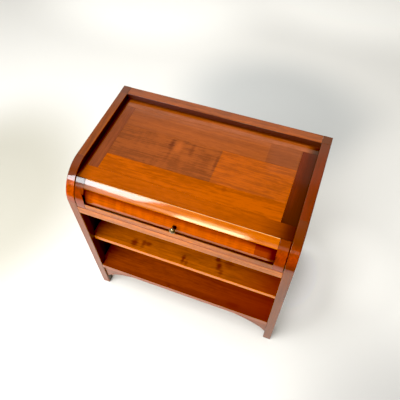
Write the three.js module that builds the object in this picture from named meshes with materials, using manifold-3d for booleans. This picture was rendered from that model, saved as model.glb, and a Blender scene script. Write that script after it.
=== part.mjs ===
// A small desk with a rounded front: two framed sides with bent-over corners, a recessed framed top,
// a curved fall flap on two pivot pins, a compartment behind it, and two open shelves below.
// Units are millimetres. +X runs to the right, +Y to the back and +Z up. The desk stands on z = 0,
// and the origin is under the middle of its box.

import * as THREE from 'three';
import { mergeVertices } from 'three/addons/utils/BufferGeometryUtils.js';
import Module from 'manifold-3d';

const wasm = await Module();
wasm.setup();

// ---------------------------------------------------------------- driving dimensions

const width = 750; // over the two sides
const depth = 455; // from the front plane to the back, without the knob
const height = 720; // floor to the rim
const glideHeight = 3; // the feet stand on round glides

const sideThick = 30; // each framed side, across the desk
const frontPostDepth = 30; // front post, curved corner and side top rail share this width
const rearPostDepth = 35; // rear post and the rails between the rear posts
const cornerRadius = 113; // outside of the rounded front
const sidePanelThick = 9;
const backPanelThick = 6;
const panelTongue = 8; // how far a panel stands in its grooves
const footRailHeight = 60; // lowest rail of each side and of the back
const backTopRailHeight = 80;

const rimDepth = 21; // the top lies this far below the rim
const topThick = 20;
const topFrontRailWidth = 51;
const topBackRailWidth = 36;
const topEndWidth = 47.5;
const topFrontBoardShare = 0.23; // shares of the field taken by the front and the middle board
const topMiddleBoardShare = 0.475;

const flapDrop = 131; // from the rim to the sill rail that the flap closes on
const sillHeight = 36;
const sillThick = 22;
const sillArrisRadius = 4; // rounded lower front edge
const shelfThick = 20;
const middleShelfShare = 0.5125; // of the height
const middleShelfSetback = 21;
const bottomShelfThick = 24;
const bottomShelfTop = 169;
const bearerWidth = 15; // the part of a bearer that shows beyond the post's inner face
const bearerHeight = 18;

const bracketLength = 228; // under the bottom shelf, along the front
const bracketHeight = 91;
const bracketTipHeight = 6;
const bracketCurveSpare = 8; // the curve would stand upright this far inside the post
const bracketThick = 18;
const bracketSetback = 6;

const flapThick = 20;
const flapSideGap = 1.8;
const flapSillGap = 0.7;
const flapTopGap = 1;
const flapStileWidth = 32;
const flapBottomRailHeight = 28;
const flapTopRailWidth = 35; // along the curve
const pivotInset = 6; // pivot line behind the flap's face and above its lower edge

const flapPanelThick = 12;
const flapFieldSetback = 3; // raised field below the frame's face
const flapBevelWidth = 15;
const flapBevelHeight = 4.5;
const flapTongueThick = 5.5;
const flapTongueDepth = 7;

const pinRadius = 2.5;
const pinInFlap = 14;
const pinInSide = 13;
const bushWall = 1.5;
const bushFlangeRadius = 5.5;
const bushFlangeThick = 1;
const runningClearance = 0.1;

const knobDrop = 4; // below the middle of the panel, along the curve
const knobRadius = 10;
const knobReach = 24; // from the panel's raised field to the knob's crown
const knobHeadHeight = 9;
const knobNeckRadius = 4;
const knobFootRadius = 7.5;
const screwRadius = 2;
const screwHeadRadius = 4;
const screwHeadHeight = 2.6;
const screwInKnob = 12;

const glideRadius = 11;
const glideNailRadius = 1.5;
const glideNailLength = 14;

const tenonThick = 8;
const tenonLength = 14;
const tenonShoulder = 6; // from a rail's edge to its tenon
const seat = 0.3; // gap at every glued or resting joint
const past = 2; // how far a cutting solid runs past the face that it opens

const arcSteps = 18;
const roundSteps = 24;

// ---------------------------------------------------------------- places worked out from them

const innerHalf = width / 2 - sideThick; // inner face of a side, from the middle
const curveY = cornerRadius; // the centre line of the rounded front
const curveZ = height - cornerRadius;
const topZ = height - rimDepth; // upper face of the top
const sillTop = height - flapDrop;
const middleShelfTop = height * middleShelfShare;
const backFace = depth - rearPostDepth; // front face of the rear posts and of the back rails
const sidePanelNear = (sideThick - sidePanelThick) / 2; // from a side's outer face
const sidePanelFar = sidePanelNear + sidePanelThick;
const backPanelFront = backFace + rearPostDepth * 0.4;
const footRailTop = bottomShelfTop - bottomShelfThick;
const footRailBottom = footRailTop - footRailHeight;
const backTopRailBottom = height - backTopRailHeight;
const topUnderside = topZ - topThick;

const flapBottom = sillTop + flapSillGap;
const flapInnerRadius = cornerRadius - flapThick;
const flapTopAngle = Math.asin((topZ - curveZ) / cornerRadius) - flapTopGap / cornerRadius;
const flapOpeningLow = Math.asin((flapBottom + flapBottomRailHeight - curveZ) / cornerRadius);
const flapOpeningHigh = flapTopAngle - flapTopRailWidth / cornerRadius;
const flapHalf = innerHalf - flapSideGap;
const flapOpeningHalf = flapHalf - flapStileWidth;
const flapFieldRadius = cornerRadius - flapFieldSetback;
const flapTongueOuter = flapFieldRadius - flapBevelHeight;
const flapTongueInner = flapTongueOuter - flapTongueThick;
const flapPanelInner = flapFieldRadius - flapPanelThick;
const tongueAngle = flapTongueDepth / flapTongueOuter;
const bevelAngle = flapBevelWidth / flapFieldRadius;
const seatAngle = seat / flapTongueOuter;
const knobAngle = (flapOpeningLow + flapOpeningHigh) / 2 - knobDrop / cornerRadius;
const pivotY = pivotInset;
const pivotZ = flapBottom + pivotInset;
const bushBore = pinRadius + runningClearance;
const bushRadius = bushBore + bushWall;

// ---------------------------------------------------------------- finishes

const finish = (color, roughness, metalness = 0) => ({ color, roughness, metalness });
const frameCherry = finish(0x9c4a1e, 0.3);
const topCherry = finish(0xb5631f, 0.25);
const panelCherry = finish(0xc4540f, 0.28);
const shelfCherry = finish(0x8e4312, 0.35);
const plainPly = finish(0x8a5a34, 0.6);
const oldBrass = finish(0x6b5330, 0.4, 0.9);
const steel = finish(0x8f9295, 0.35, 0.9);
const blackNylon = finish(0x1d1b19, 0.55);

// ---------------------------------------------------------------- making and cutting solids

function toSolid(geometry) {
  const bare = geometry.clone();
  bare.deleteAttribute('normal');
  bare.deleteAttribute('uv');
  const merged = mergeVertices(bare);
  const vertProperties = Float32Array.from(merged.attributes.position.array);
  const triVerts = Uint32Array.from(merged.index.array);
  return new wasm.Manifold(new wasm.Mesh({ numProp: 3, vertProperties, triVerts }));
}

function toGeometry(solid) {
  const mesh = solid.getMesh();
  const geometry = new THREE.BufferGeometry();
  geometry.setAttribute('position', new THREE.BufferAttribute(mesh.vertProperties, 3));
  geometry.setIndex(new THREE.BufferAttribute(mesh.triVerts, 1));
  geometry.computeVertexNormals();
  return geometry;
}

const cut = (from, ...tools) => toGeometry(
  tools.reduce((solid, tool) => solid.subtract(toSolid(tool)), toSolid(from)),
);
const join = (first, ...others) => toGeometry(
  others.reduce((solid, other) => solid.add(toSolid(other)), toSolid(first)),
);
const common = (first, second) => toGeometry(toSolid(first).intersect(toSolid(second)));

// A block between two x, two y and two z values.
function block([x0, x1], [y0, y1], [z0, z1]) {
  const geometry = new THREE.BoxGeometry(x1 - x0, y1 - y0, z1 - z0);
  return geometry.translate((x0 + x1) / 2, (y0 + y1) / 2, (z0 + z1) / 2);
}

// Widens a range by the same amount at both ends, for the mortise round a tenon.
const loosened = ([low, high], by = seat) => [low - by, high + by];

// A section drawn in the y-z plane and carried across the desk between two x values.
function carriedAcross(section, [x0, x1]) {
  const geometry = new THREE.ExtrudeGeometry(section, {
    depth: x1 - x0,
    bevelEnabled: false,
    curveSegments: arcSteps,
  });
  const alongX = new THREE.Matrix4().makeBasis(
    new THREE.Vector3(0, 1, 0),
    new THREE.Vector3(0, 0, 1),
    new THREE.Vector3(1, 0, 0),
  );
  return geometry.applyMatrix4(alongX).translate(x0, 0, 0);
}

// An outline drawn in plan and raised between two z values.
function raised(outline, [z0, z1]) {
  const geometry = new THREE.ExtrudeGeometry(outline, { depth: z1 - z0, bevelEnabled: false });
  return geometry.translate(0, 0, z0);
}

// An outline drawn from the front, in x and z, and carried back between two y values.
function carriedBack(outline, [y0, y1]) {
  const geometry = new THREE.ExtrudeGeometry(outline, {
    depth: y1 - y0,
    bevelEnabled: false,
    curveSegments: arcSteps,
  });
  const alongY = new THREE.Matrix4().makeBasis(
    new THREE.Vector3(1, 0, 0),
    new THREE.Vector3(0, 0, 1),
    new THREE.Vector3(0, -1, 0),
  );
  return geometry.applyMatrix4(alongY).translate(0, y1, 0);
}

// A round bar along x.
function roundBar(radius, [x0, x1], y, z) {
  const geometry = new THREE.CylinderGeometry(radius, radius, x1 - x0, roundSteps);
  return geometry.rotateZ(Math.PI / 2).translate((x0 + x1) / 2, y, z);
}

// A round bar along z.
function roundPost(radius, x, y, [z0, z1]) {
  const geometry = new THREE.CylinderGeometry(radius, radius, z1 - z0, roundSteps);
  return geometry.rotateX(Math.PI / 2).translate(x, y, (z0 + z1) / 2);
}

// A profile of radius and height turned about its own y axis.
function turned(points, steps = roundSteps) {
  return new THREE.LatheGeometry(points.map(([r, h]) => new THREE.Vector2(r, h)), steps);
}

// The x range between two distances from a side's outer face, measured inwards.
function acrossSide(side, near, far) {
  return side === 'left' ? [near - width / 2, far - width / 2] : [width / 2 - far, width / 2 - near];
}

// A bar bent round the curve's centre line, between two radii and two angles up from the front.
function bentBar(innerRadius, outerRadius, lowAngle, highAngle) {
  const bar = new THREE.Shape();
  bar.absarc(curveY, curveZ, outerRadius, Math.PI - lowAngle, Math.PI - highAngle, true);
  bar.absarc(curveY, curveZ, innerRadius, Math.PI - highAngle, Math.PI - lowAngle, false);
  bar.closePath();
  return bar;
}

// ---------------------------------------------------------------- the assembly

const desk = new THREE.Group();

function place(name, look, geometry, parent = desk) {
  const mesh = new THREE.Mesh(geometry, new THREE.MeshStandardMaterial(look));
  mesh.name = name;
  parent.add(mesh);
  return mesh;
}

// ---------------------------------------------------------------- framed sides

// Ranges that a tenon and its mortise share. Each is [x, y, z], with x from a side's outer face.
const sideTenonX = [(sideThick - tenonThick) / 2, (sideThick + tenonThick) / 2];
const footTenonZ = [footRailBottom + tenonShoulder, footRailTop - tenonShoulder - panelTongue];
const cornerTenonNear = frontPostDepth * 0.4;
const cornerTenonFar = frontPostDepth - panelTongue - seat;
const sillTenonZ = [sillTop - sillHeight + tenonShoulder, sillTop - tenonShoulder];
const sillTenonY = [tenonShoulder, tenonShoulder + tenonThick];
const backTenonY = [depth - tenonShoulder - tenonThick, depth - tenonShoulder];
const backTopTenonZ = [backTopRailBottom + panelTongue + tenonShoulder, height - 3 * tenonShoulder];

// The groove for a side's panel: the panel's own outline and thickness, with a seat all round.
function sidePanelOutline(slack) {
  const low = footRailTop - panelTongue - slack;
  const front = frontPostDepth - panelTongue - slack;
  const back = backFace + panelTongue + slack;
  const roundness = cornerRadius - front;
  const outline = new THREE.Shape();
  outline.moveTo(front, low);
  outline.lineTo(back, low);
  outline.lineTo(back, curveZ + roundness);
  outline.lineTo(curveY, curveZ + roundness);
  outline.absarc(curveY, curveZ, roundness, Math.PI / 2, Math.PI, false);
  outline.closePath();
  return outline;
}

function framedSide(side) {
  const x = (near, far) => acrossSide(side, near, far);
  const full = x(0, sideThick);
  const tenonX = x(...sideTenonX);
  const groove = carriedAcross(sidePanelOutline(seat), loosened(x(sidePanelNear, sidePanelFar)));
  const topRailZ = [height - frontPostDepth, height];
  const cornerStubZ = [curveZ - tenonLength, curveZ];
  const cornerStubY = [cornerTenonNear, cornerTenonFar];
  const railStubZ = [height - cornerTenonFar, height - cornerTenonNear];
  const mortiseAlongX = x(sideThick - tenonLength - seat, sideThick + past);
  const nailHoleZ = [glideHeight - past, glideHeight + glideNailLength + seat];
  const middle = (full[0] + full[1]) / 2;

  const frontPost = cut(
    block(full, [0, frontPostDepth], [glideHeight, curveZ - seat]),
    groove,
    block(loosened(tenonX), loosened(cornerStubY), [curveZ - tenonLength - seat, curveZ + past]),
    block(
      loosened(tenonX),
      [frontPostDepth - tenonLength - seat, frontPostDepth + past],
      loosened(footTenonZ),
    ),
    block(mortiseAlongX, loosened(sillTenonY), loosened(sillTenonZ)),
    roundBar(bushRadius + seat, x(sideThick - pinInSide - past, sideThick + past), pivotY, pivotZ),
    roundPost(glideNailRadius + seat, middle, frontPostDepth / 2, nailHoleZ),
  );
  place(`${side}_front_post`, frameCherry, frontPost);

  const cornerSection = bentBar(cornerRadius - frontPostDepth, cornerRadius, 0, Math.PI / 2);
  const corner = join(
    cut(carriedAcross(cornerSection, full), groove),
    block(tenonX, cornerStubY, cornerStubZ.map((z) => z + seat)),
    block(tenonX, [curveY - seat, curveY + tenonLength], railStubZ),
  );
  place(`${side}_corner`, frameCherry, corner);

  const topRail = cut(
    join(
      block(full, [curveY + seat, backFace - seat], topRailZ),
      block(tenonX, [backFace - seat - past, backFace + tenonLength], railStubZ),
    ),
    groove,
    block(loosened(tenonX), [curveY - past, curveY + tenonLength + seat], loosened(railStubZ)),
  );
  place(`${side}_top_rail`, frameCherry, topRail);

  const rearPost = cut(
    block(full, [backFace, depth], [glideHeight, height]),
    groove,
    block(loosened(tenonX), [backFace - past, backFace + tenonLength + seat], loosened(railStubZ)),
    block(loosened(tenonX), [backFace - past, backFace + tenonLength + seat], loosened(footTenonZ)),
    block(mortiseAlongX, loosened(backTenonY), loosened(backTopTenonZ)),
    block(mortiseAlongX, loosened(backTenonY), loosened(footTenonZ)),
    block(
      x(sideThick - panelTongue - seat, sideThick + past),
      loosened([backPanelFront, backPanelFront + backPanelThick]),
      [footRailTop - panelTongue - seat, backTopRailBottom + panelTongue + seat],
    ),
    roundPost(glideNailRadius + seat, middle, depth - rearPostDepth / 2, nailHoleZ),
  );
  place(`${side}_rear_post`, frameCherry, rearPost);

  const footRail = cut(
    join(
      block(full, [frontPostDepth + seat, backFace - seat], [footRailBottom, footRailTop]),
      block(tenonX, [frontPostDepth - tenonLength, backFace + tenonLength], footTenonZ),
    ),
    groove,
  );
  place(`${side}_foot_rail`, frameCherry, footRail);

  place(`${side}_panel`, panelCherry, carriedAcross(sidePanelOutline(0), x(sidePanelNear, sidePanelFar)));

  // The curved flap's bush, pressed into the front post with its flange beside the flap.
  const bushLength = pinInSide + bushFlangeThick + seat;
  const bush = turned([
    [bushBore, 0],
    [bushRadius, 0],
    [bushRadius, bushLength - bushFlangeThick],
    [bushFlangeRadius, bushLength - bushFlangeThick],
    [bushFlangeRadius, bushLength],
    [bushBore, bushLength],
    [bushBore, 0],
  ]);
  const inwards = side === 'left' ? 1 : -1;
  const bushMesh = place(`${side}_pivot_bush`, oldBrass, bush);
  bushMesh.rotation.z = -inwards * Math.PI / 2;
  bushMesh.position.set(inwards * (sideThick - pinInSide - width / 2), pivotY, pivotZ);

  for (const [end, y] of [['front', frontPostDepth / 2], ['rear', depth - rearPostDepth / 2]]) {
    const glide = turned([
      [0, 0],
      [glideRadius * 0.8, 0],
      [glideRadius, glideHeight * 0.5],
      [glideRadius, glideHeight - seat],
      [glideNailRadius, glideHeight - seat],
      [glideNailRadius, glideHeight + glideNailLength - 2 * glideNailRadius],
      [0, glideHeight + glideNailLength],
    ]);
    const mesh = place(`${side}_${end}_glide`, blackNylon, glide);
    mesh.rotation.x = Math.PI / 2;
    mesh.position.set(middle, y, 0);
  }
}

framedSide('left');
framedSide('right');

// ---------------------------------------------------------------- back

// A rail between the two sides, with a tenon at each end.
function railBetween(yRange, zRange, tenonY, tenonZ) {
  const half = innerHalf - seat;
  const tenonHalf = innerHalf + tenonLength;
  return join(block([-half, half], yRange, zRange), block([-tenonHalf, tenonHalf], tenonY, tenonZ));
}

const backPanelY = [backPanelFront, backPanelFront + backPanelThick];
const backPanelZ = [footRailTop - panelTongue, backTopRailBottom + panelTongue];
const backPanelHalf = innerHalf + panelTongue;
const backGroove = block([-width / 2, width / 2], loosened(backPanelY), loosened(backPanelZ));

const backRailY = [backFace, depth];
const backTopRail = railBetween(backRailY, [backTopRailBottom, height], backTenonY, backTopTenonZ);
const backFootRail = railBetween(backRailY, [footRailBottom, footRailTop], backTenonY, footTenonZ);
place('back_top_rail', frameCherry, cut(backTopRail, backGroove));
place('back_foot_rail', frameCherry, cut(backFootRail, backGroove));
place('back_panel', plainPly, block([-backPanelHalf, backPanelHalf], backPanelY, backPanelZ));

// ---------------------------------------------------------------- recessed top

const topHalf = innerHalf - seat;
const topFieldHalf = topHalf - topEndWidth;
const topZRange = [topUnderside, topZ];
const topEdgeAngle = flapTopAngle + flapTopGap / cornerRadius;

// The y of the top's front edge at a height: it follows the flap's upper end, which points to the centre.
const topEdgeY = (z) => curveY - (z - curveZ) / Math.tan(topEdgeAngle);
const topFrontRailBack = topEdgeY(topZ) + topFrontRailWidth;
const topBackRailFront = backFace - seat - topBackRailWidth;

const topFrontSection = new THREE.Shape([
  new THREE.Vector2(topEdgeY(topZ), topZ),
  new THREE.Vector2(topEdgeY(topUnderside), topUnderside),
  new THREE.Vector2(topFrontRailBack, topUnderside),
  new THREE.Vector2(topFrontRailBack, topZ),
]);
place('top_front_rail', topCherry, carriedAcross(topFrontSection, [-topHalf, topHalf]));
place('top_back_rail', topCherry,
  block([-topHalf, topHalf], [topBackRailFront, topBackRailFront + topBackRailWidth], topZRange));

const topFieldFront = topFrontRailBack + seat;
const topFieldBack = topBackRailFront - seat;
const topFieldDepth = topFieldBack - topFieldFront;
for (const [side, sign] of [['left', -1], ['right', 1]]) {
  const ends = [sign * topHalf, sign * topFieldHalf].sort((a, b) => a - b);
  place(`top_${side}_end`, topCherry, block(ends, [topFieldFront, topFieldBack], topZRange));
}

const topJoints = [0, topFrontBoardShare, topFrontBoardShare + topMiddleBoardShare, 1]
  .map((share) => topFieldFront + share * topFieldDepth);
['front', 'middle', 'back'].forEach((name, i) => {
  const start = topJoints[i] + (i === 0 ? 0 : seat);
  const half = topFieldHalf - seat;
  place(`top_${name}_board`, topCherry, block([-half, half], [start, topJoints[i + 1]], topZRange));
});

// ---------------------------------------------------------------- sill rail, shelves and their bearers

function roundedRailSection([y0, y1], [z0, z1], arris) {
  const section = new THREE.Shape();
  section.moveTo(y1, z0);
  section.lineTo(y1, z1);
  section.lineTo(y0, z1);
  section.lineTo(y0, z0 + arris);
  section.absarc(y0 + arris, z0 + arris, arris, Math.PI, 1.5 * Math.PI, false);
  section.closePath();
  return section;
}

const sillZ = [sillTop - sillHeight, sillTop];
const sillTenonHalf = innerHalf + tenonLength;
place('sill_rail', frameCherry, join(
  carriedAcross(roundedRailSection([0, sillThick], sillZ, sillArrisRadius), [-topHalf, topHalf]),
  block([-sillTenonHalf, sillTenonHalf], sillTenonY, sillTenonZ),
));

// A board that fills the space between the posts, notched round each post to reach the side panels.
function notchedBoard(frontY, zRange) {
  const narrow = innerHalf - seat;
  const wide = width / 2 - sidePanelFar - seat;
  const postFront = Math.max(frontPostDepth + seat, frontY);
  const postBack = backFace - seat;
  const rear = backPanelFront - seat;
  const right = [[narrow, frontY], [narrow, postFront], [wide, postFront], [wide, postBack],
    [narrow, postBack], [narrow, rear]];
  const left = right.map(([x, y]) => [-x, y]).reverse();
  return raised(new THREE.Shape([...right, ...left].map(([x, y]) => new THREE.Vector2(x, y))), zRange);
}

// A bearer on each side: it fills the hollow beside the side panel and carries the board's end.
function bearers(name, frontY, carriedZ) {
  for (const side of ['left', 'right']) {
    const across = acrossSide(side, sidePanelFar + seat, sideThick + bearerWidth);
    const zRange = [carriedZ - bearerHeight - seat, carriedZ - seat];
    place(`${side}_${name}_bearer`, shelfCherry, block(across, [frontY, backFace - seat], zRange));
  }
}

const floorZ = [sillTop - shelfThick, sillTop];
place('compartment_floor', shelfCherry, notchedBoard(frontPostDepth + seat, floorZ));
bearers('floor', frontPostDepth + seat, floorZ[0]);

const middleShelfZ = [middleShelfTop - shelfThick, middleShelfTop];
place('middle_shelf', shelfCherry, notchedBoard(middleShelfSetback, middleShelfZ));
bearers('shelf', frontPostDepth + seat, middleShelfZ[0]);

place('bottom_shelf', shelfCherry, notchedBoard(0, [footRailTop + seat, bottomShelfTop]));

// The top's bearers start behind the curved corners.
const cornerHollow = cornerRadius - frontPostDepth - seat;
bearers('top', curveY - Math.sqrt(cornerHollow ** 2 - (topUnderside - curveZ) ** 2), topUnderside);

// ---------------------------------------------------------------- brackets under the bottom shelf

// The lower edge is part of an ellipse. It runs level into the shelf and drops steeply to the post.
function bracketOutline(sign) {
  const top = footRailTop;
  const start = innerHalf - seat;
  const tipX = start - bracketLength;
  const run = bracketLength + bracketCurveSpare;
  const span = Math.asin(bracketLength / run);
  const drop = (bracketHeight - bracketTipHeight) / (1 - Math.cos(span));
  const centreZ = top - bracketTipHeight - drop;
  const outline = new THREE.Shape();
  outline.moveTo(sign * start, top);
  outline.lineTo(sign * tipX, top);
  const level = Math.PI / 2;
  outline.absellipse(sign * tipX, centreZ, run, drop, level, level - sign * span, sign > 0, 0);
  outline.closePath();
  return outline;
}

for (const [side, sign] of [['left', -1], ['right', 1]]) {
  place(`${side}_bracket`, frameCherry,
    carriedBack(bracketOutline(sign), [bracketSetback, bracketSetback + bracketThick]));
}

// ---------------------------------------------------------------- curved fall flap

const flap = new THREE.Group();
desk.add(flap);

// The flap's section from its rounded lower edge, up the straight part and round the curve to an angle.
function flapSection(topAngle) {
  const section = new THREE.Shape();
  section.moveTo(pivotInset, flapBottom);
  section.lineTo(flapThick, flapBottom);
  section.absarc(curveY, curveZ, flapInnerRadius, Math.PI, Math.PI - topAngle, true);
  section.absarc(curveY, curveZ, cornerRadius, Math.PI - topAngle, Math.PI, false);
  section.lineTo(0, pivotZ);
  section.absarc(pivotInset, pivotZ, pivotInset, Math.PI, 1.5 * Math.PI, false);
  section.closePath();
  return section;
}

const grooveRadii = [flapTongueInner - seat, flapTongueOuter + seat];
const grooveAngles = [flapOpeningLow - tongueAngle - seatAngle, flapOpeningHigh + tongueAngle + seatAngle];
const flapGroove = (range) => carriedAcross(bentBar(...grooveRadii, ...grooveAngles), range);
const flapTenonReach = flapOpeningHalf + tenonLength;
const flapTenonY = [cornerRadius - flapTongueOuter, cornerRadius - flapTongueInner];
const flapTenonZ = [
  flapBottom + tenonShoulder,
  curveZ + Math.sin(flapOpeningLow - tongueAngle) * cornerRadius - past,
];
const flapTenonAngles = [grooveAngles[1] + seatAngle, flapTopAngle - tenonShoulder / cornerRadius];
const flapMortiseAngles = loosened(flapTenonAngles, seatAngle);

for (const [side, sign] of [['left', -1], ['right', 1]]) {
  const range = [sign * flapHalf, sign * flapOpeningHalf].sort((a, b) => a - b);
  const grooved = [sign * (flapOpeningHalf - past), sign * (flapOpeningHalf + flapTongueDepth + seat)]
    .sort((a, b) => a - b);
  const mortised = [sign * (flapOpeningHalf - past), sign * (flapTenonReach + seat)].sort((a, b) => a - b);
  const pinHole = [sign * (flapHalf - pinInFlap - seat), sign * (flapHalf + past)].sort((a, b) => a - b);
  place(`flap_${side}_stile`, frameCherry, cut(
    carriedAcross(flapSection(flapTopAngle), range),
    flapGroove(grooved),
    block(mortised, loosened(flapTenonY), loosened(flapTenonZ)),
    carriedAcross(bentBar(...grooveRadii, ...flapMortiseAngles), mortised),
    roundBar(pinRadius + seat, pinHole, pivotY, pivotZ),
  ), flap);

  const pinOut = innerHalf + pinInSide - seat;
  const pin = [sign * (flapHalf - pinInFlap), sign * pinOut].sort((a, b) => a - b);
  place(`flap_${side}_pin`, oldBrass, roundBar(pinRadius, pin, pivotY, pivotZ), flap);
}

const flapRailRange = [seat - flapOpeningHalf, flapOpeningHalf - seat];
const flapTenonRange = [-flapTenonReach, flapTenonReach];
place('flap_bottom_rail', frameCherry, join(
  cut(carriedAcross(flapSection(flapOpeningLow), flapRailRange), flapGroove([-width / 2, width / 2])),
  block(flapTenonRange, flapTenonY, flapTenonZ),
), flap);
place('flap_top_rail', frameCherry, join(
  cut(
    carriedAcross(bentBar(flapInnerRadius, cornerRadius, flapOpeningHigh, flapTopAngle), flapRailRange),
    flapGroove([-width / 2, width / 2]),
  ),
  carriedAcross(bentBar(flapTongueInner, flapTongueOuter, ...flapTenonAngles), flapTenonRange),
), flap);

// The raised panel: a section with bevels above and below, carried across the desk, shared with a ring
// turned about the curve's centre line whose ends have the same bevels. Their mitres meet at the corners.
function flapPanelSection() {
  const tongueLow = flapOpeningLow - tongueAngle;
  const tongueHigh = flapOpeningHigh + tongueAngle;
  const point = (radius, angle) => new THREE.Vector2(
    curveY - radius * Math.cos(angle),
    curveZ + radius * Math.sin(angle),
  );
  const section = new THREE.Shape();
  section.setFromPoints([
    point(flapTongueInner, tongueLow),
    point(flapTongueOuter, tongueLow),
    point(flapTongueOuter, flapOpeningLow),
  ]);
  section.absarc(curveY, curveZ, flapFieldRadius,
    Math.PI - flapOpeningLow - bevelAngle, Math.PI - flapOpeningHigh + bevelAngle, true);
  const high = [
    point(flapTongueOuter, flapOpeningHigh),
    point(flapTongueOuter, tongueHigh),
    point(flapTongueInner, tongueHigh),
    point(flapTongueInner, flapOpeningHigh - seatAngle),
  ];
  high.forEach(({ x, y }) => section.lineTo(x, y));
  section.absarc(curveY, curveZ, flapPanelInner,
    Math.PI - flapOpeningHigh + seatAngle, Math.PI - flapOpeningLow - seatAngle, false);
  const low = point(flapTongueInner, flapOpeningLow + seatAngle);
  section.lineTo(low.x, low.y);
  section.closePath();
  return section;
}

function flapPanelRing() {
  const reach = flapOpeningHalf + flapTongueDepth;
  const bevelStart = flapOpeningHalf - flapBevelWidth;
  const half = [
    [flapPanelInner, flapOpeningHalf - seat],
    [flapTongueInner, flapOpeningHalf - seat],
    [flapTongueInner, reach],
    [flapTongueOuter, reach],
    [flapTongueOuter, flapOpeningHalf],
    [flapFieldRadius, bevelStart],
  ];
  const otherHalf = half.map(([r, h]) => [r, -h]);
  const profile = [...otherHalf, ...half.reverse(), otherHalf[0]];
  const aboutX = turned(profile, 8 * arcSteps).rotateZ(-Math.PI / 2);
  return aboutX.translate(0, curveY, curveZ);
}

const knobOut = new THREE.Vector3(0, -Math.cos(knobAngle), Math.sin(knobAngle));
const alongKnob = new THREE.Quaternion().setFromUnitVectors(new THREE.Vector3(0, 1, 0), knobOut);
const knobFoot = new THREE.Vector3(0, curveY, curveZ).addScaledVector(knobOut, flapFieldRadius + seat);

const screwHole = roundPost(screwRadius + seat, 0, 0, [-2 * flapThick, 2 * flapThick])
  .rotateX(-Math.PI / 2)
  .applyQuaternion(alongKnob)
  .translate(knobFoot.x, knobFoot.y, knobFoot.z);
const flapPanelWidth = [-flapHalf, flapHalf];
const flapPanel = common(carriedAcross(flapPanelSection(), flapPanelWidth), flapPanelRing());
place('flap_panel', panelCherry, cut(flapPanel, screwHole), flap);

// The knob: a dished foot, a waist and a domed head, bored and tapped for its screw.
function knobProfile() {
  const headBase = knobReach - knobHeadHeight;
  const crownHeight = knobHeadHeight * 0.55;
  const crown = [60, 30, 0].map((degrees) => {
    const turn = THREE.MathUtils.degToRad(degrees);
    return [knobRadius * Math.sin(turn), knobReach - crownHeight * (1 - Math.cos(turn))];
  });
  return [
    [0, screwInKnob + seat],
    [screwRadius + seat, screwInKnob + seat],
    [screwRadius + seat, 0],
    [knobFootRadius, 0],
    [knobFootRadius, 1.5],
    [knobFootRadius * 0.8, 3],
    [knobNeckRadius, 6],
    [knobNeckRadius, headBase - 2],
    [knobRadius * 0.75, headBase],
    [knobRadius, headBase + 3],
    [knobRadius, knobReach - crownHeight],
    ...crown,
  ];
}

const knob = place('knob', oldBrass, turned(knobProfile()), flap);
knob.position.copy(knobFoot);
knob.quaternion.copy(alongKnob);

const screwHeadTop = -flapPanelThick - 2 * seat;
const screw = place('knob_screw', steel, turned([
  [0, screwHeadTop - screwHeadHeight],
  [screwHeadRadius * 0.7, screwHeadTop - screwHeadHeight],
  [screwHeadRadius, screwHeadTop - screwHeadHeight * 0.5],
  [screwHeadRadius, screwHeadTop],
  [screwRadius, screwHeadTop],
  [screwRadius, screwInKnob],
  [0, screwInKnob],
]), flap);
screw.position.copy(knobFoot);
screw.quaternion.copy(alongKnob);

// ---------------------------------------------------------------- origin under the middle of the box

desk.updateMatrixWorld(true);
const box = new THREE.Box3().setFromObject(desk, true);
desk.position.y = -(box.min.y + box.max.y) / 2;

export default desk;
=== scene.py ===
"""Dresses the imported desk: softened cherry boards, a bent flap, a small turned knob and a pale studio.

Every wooden piece but the flap's panel is an outline carried along one of the three axes, with its
arrises rounded over. The panel is a bent grid and the knob is turned. All the meshes are in metres, in
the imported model's own frame, with each object at the origin.
"""

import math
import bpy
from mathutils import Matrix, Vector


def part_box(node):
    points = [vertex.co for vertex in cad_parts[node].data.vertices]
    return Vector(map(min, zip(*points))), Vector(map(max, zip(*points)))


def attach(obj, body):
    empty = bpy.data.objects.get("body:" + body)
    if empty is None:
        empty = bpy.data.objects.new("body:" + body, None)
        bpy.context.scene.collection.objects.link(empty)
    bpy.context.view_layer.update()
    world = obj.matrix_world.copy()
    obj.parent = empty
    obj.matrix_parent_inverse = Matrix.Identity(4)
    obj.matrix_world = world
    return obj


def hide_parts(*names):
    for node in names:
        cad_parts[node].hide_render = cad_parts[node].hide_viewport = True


bl_info = {
    "name": "Round-fronted cherry desk",
    "version": (1, 0, 0),
    "blender": (4, 5, 0),
    "location": "3D View > Sidebar > Desk",
    "description": "Builds the finished pieces of a small desk with a curved fall flap",
    "category": "Object",
}

import bpy
import numpy as np
from mathutils import Matrix, Vector

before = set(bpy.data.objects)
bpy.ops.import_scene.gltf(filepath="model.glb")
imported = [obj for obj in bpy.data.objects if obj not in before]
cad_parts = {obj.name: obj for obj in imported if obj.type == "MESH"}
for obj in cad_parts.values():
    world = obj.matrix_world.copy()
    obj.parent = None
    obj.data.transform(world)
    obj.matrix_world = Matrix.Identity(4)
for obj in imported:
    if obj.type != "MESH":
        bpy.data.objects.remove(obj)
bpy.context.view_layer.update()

MM = 0.001


def low(node):
    """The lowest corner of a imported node."""
    return np.array(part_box(node)[0])


def high(node):
    """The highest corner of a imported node."""
    return np.array(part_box(node)[1])


def extent(node, axis):
    """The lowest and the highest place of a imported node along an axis."""
    return low(node)[axis], high(node)[axis]


# The gap at a glued joint, and the room that a panel has in its frame.
SEAM = 0.3 * MM
SLACK = 0.15 * MM

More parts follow.
